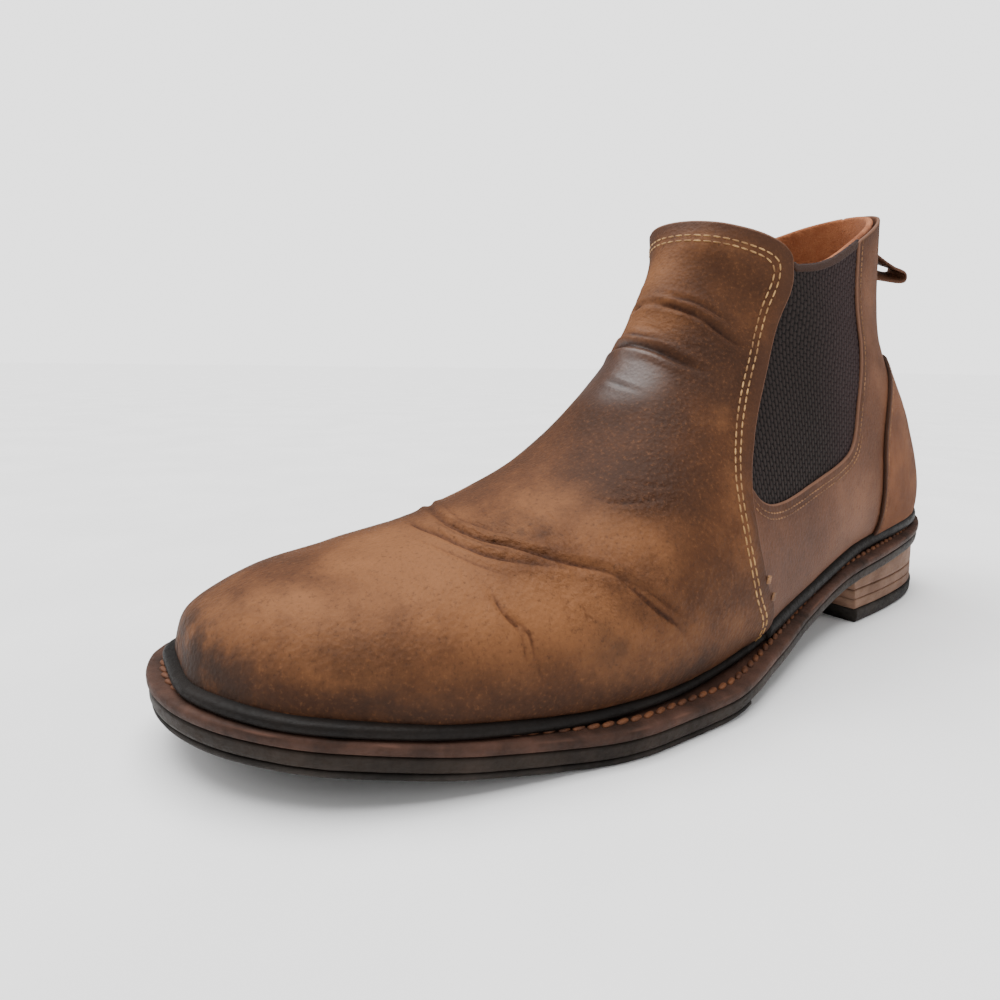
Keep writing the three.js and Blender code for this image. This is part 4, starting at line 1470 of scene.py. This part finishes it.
@dataclass
class Bottom:
    """Rand, welt, outsole, tread, heel and the seams round them."""

    upper: Upper
    stations: int = 150
    bead_width: float = 2.6
    front_height: float = 3.3
    rear_height: float = 5.6
    split: float = 4.0
    welt_thickness: float = 3.0
    outsole: Pair = (7.1, 3.1)
    tread: Pair = (9.0, 7.2)
    tread_end: float = -14.0
    heel_front: float = 70.0
    lock_inset: float = 4.0
    lock: Thread = Thread(3.9, 3.7, 1.7, 1.3, 0.28)

    def bead(self, name: str, front: bool, material: bpy.types.Material) -> None:
        """The rand where the upper meets the welt.

        Args:
            name: The solid that it replaces.
            front: Whether it is the front or the rear rand.
            material: Its finish.
        """
        height = self.front_height if front else self.rear_height
        smooth = self.upper.smooth
        value = smooth.points[:, 2] - SOLE.seat(smooth.points[:, 1]) - height * 0.5
        loop = smooth.contour(value)[0][:-1]
        if not front:
            loop = np.roll(loop, -int(np.argmin(loop[:, 1])), axis=0)
        else:
            loop = np.roll(loop, -int(np.argmax(loop[:, 1])), axis=0)
        kept = loop[loop[:, 1] < self.split if front else loop[:, 1] > self.split + 0.3]
        path = resampled(kept, 300)
        smoothed = path.copy()
        for _ in range(6):
            smoothed[1:-1] = (smoothed[:-2] + 2 * smoothed[1:-1] + smoothed[2:]) / 4
        out = smoothed[:, 3:5]
        out = out / np.maximum(np.linalg.norm(out, axis=1, keepdims=True), 1e-9)
        foot = SOLE.seat(smoothed[:, 1]) + 0.05
        sides = 12
        rings = []
        for k in range(sides):
            a = -math.pi / 2 + math.pi * k / (sides - 3) if k < sides - 2 else 0.0
            if k < sides - 2:
                push = self.bead_width * max(math.cos(a), 0) ** 0.7
                lift = math.copysign(abs(math.sin(a)) ** 0.8, math.sin(a))
            else:
                push, lift = -1.4, 1.0 if k == sides - 2 else -1.0
            rings.append(np.column_stack([
                smoothed[:, 0] + out[:, 0] * push, smoothed[:, 1] + out[:, 1] * push,
                foot + height / 2 * (1 + lift * 0.98)]))
        points = np.stack(rings, axis=1).reshape(-1, 3)
        faces = ring_faces(len(path), sides, flipped=True)
        finished(mesh_piece(f"{name}_bead", points, faces), material, (name,))

    def plate(self, name: str, profile: Sequence[Pair], bottom: Curve, top: Curve,
              material: bpy.types.Material, nodes: Sequence[str], slot: str, start: float = 0.0,
              end: float = 1.0, lean: float = 0.0, lean_from: float = 0.0, wear: float = 1.0) -> None:
        """A body between two heights inside the outline.

        Args:
            name: The piece's name.
            profile: Inset and share of height, from the middle of the top round to the bottom.
            bottom: Height of the lower face at y.
            top: Height of the upper face at y.
            material: Its finish.
            nodes: Solids that it replaces.
            slot: A material slot name; not used.
            start: Share of the half turn where it begins.
            end: Share of the half turn where it ends.
            lean: How far its front face moves back per millimetre of depth.
            lean_from: Height where that face starts.
            wear: Strength of the rubbed edges.
        """
        turns = np.linspace(start, end, self.stations)
        rows, marks = [], []
        for side in (1, -1):
            for inset, share in profile if side > 0 else reversed(profile):
                spot = SOLE.edge(turns, side, inset)
                low, high = bottom(spot[:, 1]), top(spot[:, 1])
                z = low + (high - low) * share
                fade = (end - turns) / (end - start)
                y = spot[:, 1] + fade * lean * np.maximum(lean_from - z, 0)
                rows.append(np.column_stack([spot[:, 0], y, z]))
                rubbed = wear * math.exp(-(inset / 0.8) ** 2) * (share > 0.8)
                marks.append(np.full(len(turns), rubbed))
        faces = ring_faces(len(turns), len(rows))
        points = np.stack(rows, axis=1).reshape(-1, 3)
        dent = 0.12 * shaken(points, 5.0, 2.2) + 0.1 * shaken(points, 1.9, 6.0)
        insets = np.array([inset for inset, _ in (*profile, *reversed(profile))])
        dent = dent * np.tile(insets < 2, len(turns))
        points = points + unit(points * (1, 0, 0)) * dent[:, None]
        outer = np.stack(marks, axis=1).reshape(-1)
        finished(mesh_piece(name, points, faces, {"wear": outer}), material, nodes)

    def welt(self, leather: bpy.types.Material, thread: bpy.types.Material) -> None:
        """The welt and the lockstitch that runs round it."""
        rim = ((13.5, 1.0), (6.0, 1.0), (2.6, 1.0), (1.4, 0.99), (0.75, 0.96), (0.25, 0.85),
               (0.0, 0.6), (0.05, 0.25), (0.4, 0.06), (1.0, 0.0), (13.5, 0.0))
        around = np.concatenate([np.linspace(0, 1, self.stations),
                                 np.linspace(1, 0, self.stations)[1:-1]])
        half = self.stations
        rings = []
        marks = []
        for inset, share in rim:
            spot = np.vstack([SOLE.edge(around[:half], 1, inset), SOLE.edge(around[half:], -1, inset)])
            height = SOLE.seat(spot[:, 1]) - self.welt_thickness * (1 - share)
            rings.append(np.column_stack([spot, height]))
            marks.append(np.full(len(spot), math.exp(-((inset - 0.4) / 0.4) ** 2) * (share > 0.8)))
        faces = ring_faces(len(around), len(rim), flipped=True, closed=True)
        points = np.stack(rings, axis=1).reshape(-1, 3)
        upper_half = np.tile([share for _, share in rim], len(around)) > 0.5
        points[:, 2] += 0.12 * shaken(points, 4.0, 9.0) * upper_half
        wear = np.stack(marks, axis=1).reshape(-1)
        wear *= np.clip(0.3 + 1.3 * shaken(points, 7.0, 5.0), 0, 0.9)
        finished(mesh_piece("welt_leather", points, faces, {"wear": wear}), leather, ("welt",))
        inset = self.lock_inset
        spot = np.vstack([SOLE.edge(around[:half], 1, inset), SOLE.edge(around[half:], -1, inset)])
        path = np.column_stack([spot, SOLE.seat(spot[:, 1]) + 0.12,
                                np.tile((0.0, 0.0, 1.0), (len(spot), 1))])
        sew("welt_lockstitch", self.lock, [np.vstack([path, path[:1]])], thread)

    def soles(self, outsole: bpy.types.Material, rubber: bpy.types.Material) -> None:
        """The outsole and the tread glued under its front."""
        edge = ((14.0, 1.0), (1.2, 1.0), (0.5, 0.95), (0.4, 0.8), (0.4, 0.3), (0.7, 0.1), (1.4, 0.0),
                (14.0, 0.0))
        low, high = (below_seat(depth) for depth in self.outsole)
        self.plate("outsole_body", edge, low, high, outsole, ("outsole",), "outsole", wear=0.4)
        tread = ((14.0, 1.0), (1.3, 1.0), (0.9, 0.9), (0.8, 0.5), (1.2, 0.12), (2.0, 0.0), (14.0, 0.0))
        low, high = (below_seat(depth) for depth in self.tread)
        self.plate("tread_body", tread, low, high, rubber, ("forepart_tread",), "black_rubber",
                   end=float(SOLE.turn(self.tread_end)), wear=0.3)

    def heel(self, stack: bpy.types.Material, rubber: bpy.types.Material) -> None:
        """The stacked heel and its rubber top piece."""
        start = float(SOLE.turn(self.heel_front))
        seat_low = SOLE.stack + 4.1
        lift = ((12.0, 1.0), (2.5, 1.0), (2.05, 0.93), (2.0, 0.8), (2.0, 0.2), (2.05, 0.07),
                (2.5, 0.0), (12.0, 0.0))
        flat = {"heel_lift_2": (9.25, 12.95), "heel_lift_3": (5.35, 9.15)}
        common = {"start": start, "lean": 0.22, "lean_from": 24.0}
        self.plate("heel_lift_1_stack", lift, level(seat_low), below_seat(self.outsole[0]), stack,
                   ("heel_lift_1",), "stacked_leather", **common)
        for node, (low, high) in flat.items():
            self.plate(f"{node}_stack", lift, level(low), level(high), stack, (node,),
                       "stacked_leather", **common)
        top = ((12.0, 1.0), (1.9, 1.0), (1.5, 0.95), (1.4, 0.8), (1.6, 0.3), (2.1, 0.06), (2.8, 0.0),
               (12.0, 0.0))
        self.plate("heel_top_piece_rubber", top, level(0.0), level(5.25), rubber,
                   ("heel_top_piece",), "black_rubber", **common)


@dataclass
class PullLoop:
    """The leather tab at the back, folded into a loop."""

    upper: Upper
    width: float = 14.0
    thickness: float = 1.5
    lean: float = 9.0
    middle: float = -8.0
    fine: Thread = Thread(1.9, 1.35, 0.5, 0.4)

    def inside_base(self, points: np.ndarray) -> np.ndarray:
        """Distance inside the outline of the plate that holds the loop."""
        across = 8 - np.abs(points[:, 0] - self.middle)
        return np.min([across, points[:, 2] - 131, 147 - points[:, 2]], axis=0)

    def build(self, leather: bpy.types.Material, thread: bpy.types.Material) -> None:
        """Makes the loop and the plate that holds it."""
        self.loop(leather)
        self.base(leather, thread)

    def loop(self, leather: bpy.types.Material) -> None:
        """The folded strip, which bends where it leaves the plate."""
        path = spline(((120.5, 146.5), (123.6, 144.8), (128, 143), (134, 140.2), (140, 137.8),
                       (144.6, 136.6), (146, 134.8), (144.6, 133.2), (141, 133.2), (134, 134.6),
                       (128, 136), (123.6, 136.6), (120.5, 135)), 8)
        path = resampled(np.column_stack([path, path[:, 0] * 0])[:, [2, 0, 1]], 90)
        way = unit(np.gradient(path, axis=0))
        out = np.cross(way, (1.0, 0.0, 0.0))
        sides = 20
        rings = []
        reach = np.clip((path[:, 1] - 123) / 22, 0, 1)
        tilt = np.linspace(0.1, 0.85, len(path)) * np.minimum(1, 0.8 + reach)
        for k in range(sides):
            a = 2 * math.pi * k / sides
            wide = math.copysign(abs(math.cos(a)) ** 0.35, math.cos(a)) * self.width / 2
            thick = math.copysign(abs(math.sin(a)) ** 0.6, math.sin(a)) * self.thickness / 2
            across = wide * (1 - 0.3 * reach)
            rings.append(np.column_stack([
                across + self.middle + self.lean * reach,
                path[:, 1] + out[:, 1] * thick - 0.25 * reach * across,
                path[:, 2] + out[:, 2] * thick - tilt * across]))
        points = np.stack(rings, axis=1).reshape(-1, 3)
        rim = [3 * (1 - abs(math.cos(2 * math.pi * k / sides)) ** 6) for k in range(sides)]
        marks = small_marks(np.tile(rim, len(path)), scuff=0.1, dark=0.25)
        piece = mesh_piece("pull_loop_leather", points, ring_faces(len(path), sides), marks)
        piece.data.materials.append(leather)
        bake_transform(piece)
        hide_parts("pull_loop")

    def base(self, leather: bpy.types.Material, thread: bpy.types.Material) -> None:
        """The stitched plate that holds the loop."""
        smooth = self.upper.smooth
        p = smooth.points
        patch = smooth.cut(self.inside_base(p), p[:, 1] - 90)
        border = self.inside_base(patch.points)
        points, faces, source = shell(patch, self.thickness, -0.15)
        marks = small_marks(border[source], scuff=0.3)
        finished(mesh_piece("pull_loop_base_leather", points, faces, marks), leather,
                 ("pull_loop_base",))
        seam = patch.raised(self.thickness).contour(border - 1.7)[:1]
        sew("pull_loop_base_stitches", self.fine, seam, thread)


@dataclass
class Footbed:
    """The sock over the insole, cupped at its edges."""

    upper: Upper
    rows: int = 90
    columns: int = 24
    clearance: float = 5.2
    thickness: float = 1.1
    cup: float = 2.2
    cushion: float = 2.2

    @staticmethod
    def wall(path: np.ndarray, places: np.ndarray) -> np.ndarray:
        """x of one wall of the foot space at each y."""
        ordered = path[np.argsort(path[:, 1])]
        return np.interp(places, ordered[:, 1], ordered[:, 0])

    def build(self, suede: bpy.types.Material) -> None:
        """Makes the sock from rows of points across the foot.

        Args:
            suede: Its finish.
        """
        smooth = self.upper.smooth
        loop = smooth.contour(smooth.points[:, 2] - SOLE.seat(smooth.points[:, 1]) - 5.5)[0]
        ys = -np.cos(np.linspace(0.02, 0.98, self.rows) * math.pi) * 138 - 1
        right = self.wall(loop[loop[:, 0] > -4], ys) - self.clearance
        left = self.wall(loop[loop[:, 0] <= -4], ys) + self.clearance
        across = np.linspace(0, 1, self.columns)
        rim = self.cup * np.abs(2 * across - 1) ** 6
        grid = []
        for y, a, b in zip(ys, left, right):
            line = np.full(self.columns, y)
            under_heel = self.cushion * (1 / (1 + math.exp(-(y - 80) / 4)))
            height = SOLE.seat(line) + 4.6 + under_heel + rim
            grid.append(np.column_stack([a + (b - a) * across, line, height]))
        top = np.vstack(grid)
        points = np.vstack([top, top - (0, 0, self.thickness)])
        edge = np.full(len(points), FAR_FROM_EDGE)
        finished(mesh_piece("sock_liner_suede", points, self.faces(), {"edge": edge}), suede,
                 ("sock_liner",))

    def faces(self) -> list[tuple[int, ...]]:
        """Faces of the top, the underside and the edge between them."""
        n, last = self.columns, self.rows - 1
        count = n * self.rows
        faces: list[tuple[int, ...]] = []
        for i in range(last):
            for a in range(i * n, i * n + n - 1):
                faces.append((a, a + 1, a + n + 1, a + n))
                faces.append((count + a + n, count + a + n + 1, count + a + 1, count + a))
        ring = [*range(n), *(i * n + n - 1 for i in range(1, self.rows)),
                *(last * n + j for j in range(n - 2, -1, -1)),
                *(i * n for i in range(last - 1, 0, -1))]
        for a, b in zip(ring, ring[1:] + ring[:1]):
            faces.append((b, a, count + a, count + b))
        return faces


@dataclass
class Inside:
    """The pieces deep inside, which keep their plain solids and get a finish each."""

    finishes: tuple[tuple[Inner, tuple[str, ...]], ...] = (
        (Inner("rib cloth", tone(196, 186, 168), tone(150, 140, 122), 0.8), ("insole_rib",)),
        (Inner("stiffener board", tone(150, 128, 100), tone(118, 98, 74), 1.6),
         ("toe_puff", "heel_counter")),
        (Inner("insole leather", tone(176, 138, 98), tone(142, 106, 72), 2.2), ("insole_board",)),
        (Inner("cork", tone(150, 112, 74), tone(92, 62, 38), 2.4), ("bottom_filler",)),
        (Inner("steel", tone(150, 150, 152), tone(108, 108, 112), 3.0, 0.35, 1.0), ("shank",)),
        (Inner("foam", tone(120, 118, 112), tone(90, 88, 84), 0.9), ("heel_cushion",)),
        (Inner("brass", tone(186, 152, 86), tone(140, 108, 58), 1.4, 0.35, 1.0),
         tuple(f"heel_nail_{i}" for i in range(1, 6))))

    def dress(self) -> None:
        """Gives each solid its finish."""
        for finish, nodes in self.finishes:
            material = finish.build()
            for node in nodes:
                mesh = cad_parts[node].data
                mesh.materials.clear()
                mesh.materials.append(material)
                LOG.info("%s: %s", node, finish.name)


@dataclass
class Studio:
    """The camera, a pale floor and soft studio lamps."""

    yaw: float = 56.86
    pitch: float = 9.9
    roll: float = 0.72
    place: tuple[float, float, float] = (0.15696, -0.16631, 0.09255)
    lens: float = 23.93
    shift: Pair = (0.0041, -0.0177)
    fill: float = 0.32
    backdrop: float = 2.4
    floor_half: float = 30.0
    lamps: tuple[tuple[str, tuple[float, float, float], float, float], ...] = (
        ("top", (-0.15, -0.05, 1.0), 5.2, 55),
        ("front", (-0.6, -0.75, 0.7), 1.3, 40),
        ("side", (0.9, 0.25, 0.5), 0.7, 45))

    def build(self) -> None:
        """Sets up the whole studio."""
        self.camera()
        self.floor()
        self.world()
        for label, place, strength, spread in self.lamps:
            lamp = bpy.data.lights.new(label, "SUN")
            lamp.energy = strength
            lamp.angle = math.radians(spread)
            bulb = bpy.data.objects.new(label, lamp)
            bulb.location = place
            bulb.rotation_euler = (-Vector(place)).to_track_quat("-Z", "Y").to_euler()
            bpy.context.scene.collection.objects.link(bulb)

    def camera(self) -> None:
        """Places the camera before the toe, to the outer side."""
        yaw, pitch, roll = (math.radians(turn) for turn in (self.yaw, self.pitch, self.roll))
        ahead = Vector((-math.sin(yaw) * math.cos(pitch), math.cos(yaw) * math.cos(pitch),
                        -math.sin(pitch)))
        level_way = Vector((math.cos(yaw), math.sin(yaw), 0))
        upward = level_way.cross(ahead)
        right = level_way * math.cos(roll) + upward * math.sin(roll)
        up = upward * math.cos(roll) - level_way * math.sin(roll)
        data = bpy.data.cameras.new("camera")
        data.lens = self.lens
        data.sensor_width = 36
        data.shift_x, data.shift_y = self.shift
        data.clip_start = 0.01
        data.dof.use_dof = False
        camera = bpy.data.objects.new("camera", data)
        matrix = Matrix((right, up, -ahead)).transposed().to_4x4()
        matrix.translation = self.place
        camera.matrix_world = matrix
        scene = bpy.context.scene
        scene.collection.objects.link(camera)
        scene.camera = camera

    def floor(self) -> None:
        """Lays the pale floor, large enough to meet the backdrop far away."""
        h = self.floor_half
        mesh = bpy.data.meshes.new("floor")
        mesh.from_pydata([(-h, -h, 0), (h, -h, 0), (h, h, 0), (-h, h, 0)], [], [(0, 1, 2, 3)])
        ground = bpy.data.objects.new("floor", mesh)
        bpy.context.scene.collection.objects.link(ground)
        paper = Finish("paper")
        white = paper.ramp(paper.cloud(90), (0.4, tone(250, 250, 250)), (0.6, tone(255, 255, 255)))
        mesh.materials.append(paper.done(white, 0.95, Specular_IOR_Level=0.0))

    def world(self) -> None:
        """Makes an even soft sky, brighter where the camera sees it."""
        world = bpy.data.worlds.new("studio")
        world.use_nodes = True
        tree = world.node_tree
        sky = tree.nodes["Background"]
        sky.inputs["Strength"].default_value = self.fill
        seen = tree.nodes.new("ShaderNodeBackground")
        seen.inputs["Strength"].default_value = self.backdrop
        for background in (sky, seen):
            background.inputs["Color"].default_value = (1, 1, 1, 1)
        either = tree.nodes.new("ShaderNodeMixShader")
        path = tree.nodes.new("ShaderNodeLightPath")
        tree.links.new(path.outputs["Is Camera Ray"], either.inputs[0])
        tree.links.new(sky.outputs[0], either.inputs[1])
        tree.links.new(seen.outputs[0], either.inputs[2])
        tree.links.new(either.outputs[0], tree.nodes["World Output"].inputs["Surface"])
        bpy.context.scene.world = world


def main() -> None:
    """Builds the boot and its studio."""
    logging.basicConfig(level=logging.INFO)
    Studio().build()
    upper = Upper()
    vamp_leather = WornLeather("vamp leather").build()
    quarter_leather = WornLeather("quarter leather", tone(72, 44, 30), tone(94, 60, 41),
                                  tone(118, 79, 56), 0.08, 0.6).build()
    counter = Suede("counter suede", tone(90, 51, 27), tone(124, 76, 44)).build()
    lining = Suede("lining suede", tone(134, 76, 46), tone(184, 118, 80)).build()
    grip = Suede("grip suede", tone(110, 62, 38), tone(150, 94, 62)).build()
    cloth = Inner("cloth", tone(176, 160, 134), tone(140, 124, 100), 0.8).build()
    elastic = Elastic("woven elastic").build()
    tape = Suede("elastic tape", tone(38, 28, 28), tone(66, 49, 46), 0.2).build()
    rand = Rubbed("rand", tone(12, 8, 6), tone(26, 19, 14), 0.5, 0.22).build()
    welt = Rubbed("welt leather", tone(36, 24, 18), tone(96, 66, 54), 0.6, 0.06).build()
    outsole = Rubbed("outsole edge", tone(28, 21, 16), tone(56, 45, 37), 0.55, 0.35).build()
    rubber = Rubbed("black rubber", tone(20, 17, 15), tone(62, 55, 50), 0.65, 0.4).build()
    stack = Rubbed("stacked leather", tone(98, 71, 56), tone(150, 118, 98), 0.65, 0.5, 0.2).build()
    cream = Yarn("cream thread", tone(186, 146, 94), tone(122, 86, 52)).build()
    brown = Yarn("brown thread", tone(150, 108, 72), tone(84, 56, 38)).build()
    rust = Yarn("rust thread", tone(112, 68, 40), tone(66, 38, 24)).build()
    leathers = LeatherUpper(upper)
    leathers.vamp(vamp_leather, cream, brown)
    for side in Side:
        leathers.quarter(side, quarter_leather, brown)
        leathers.gore(side, elastic)
        leathers.binding(side, tape)
    leathers.counter_patch(counter, brown)
    leathers.linings(lining, grip, cloth)
    PullLoop(upper).build(quarter_leather, brown)
    Footbed(upper).build(lining)
    bottom = Bottom(upper)
    bottom.bead("rand_front", True, rand)
    bottom.bead("rand_rear", False, rand)
    bottom.welt(welt, rust)
    bottom.soles(outsole, rubber)
    bottom.heel(stack, rubber)
    Inside().dress()


if __name__ == "__main__":
    main()
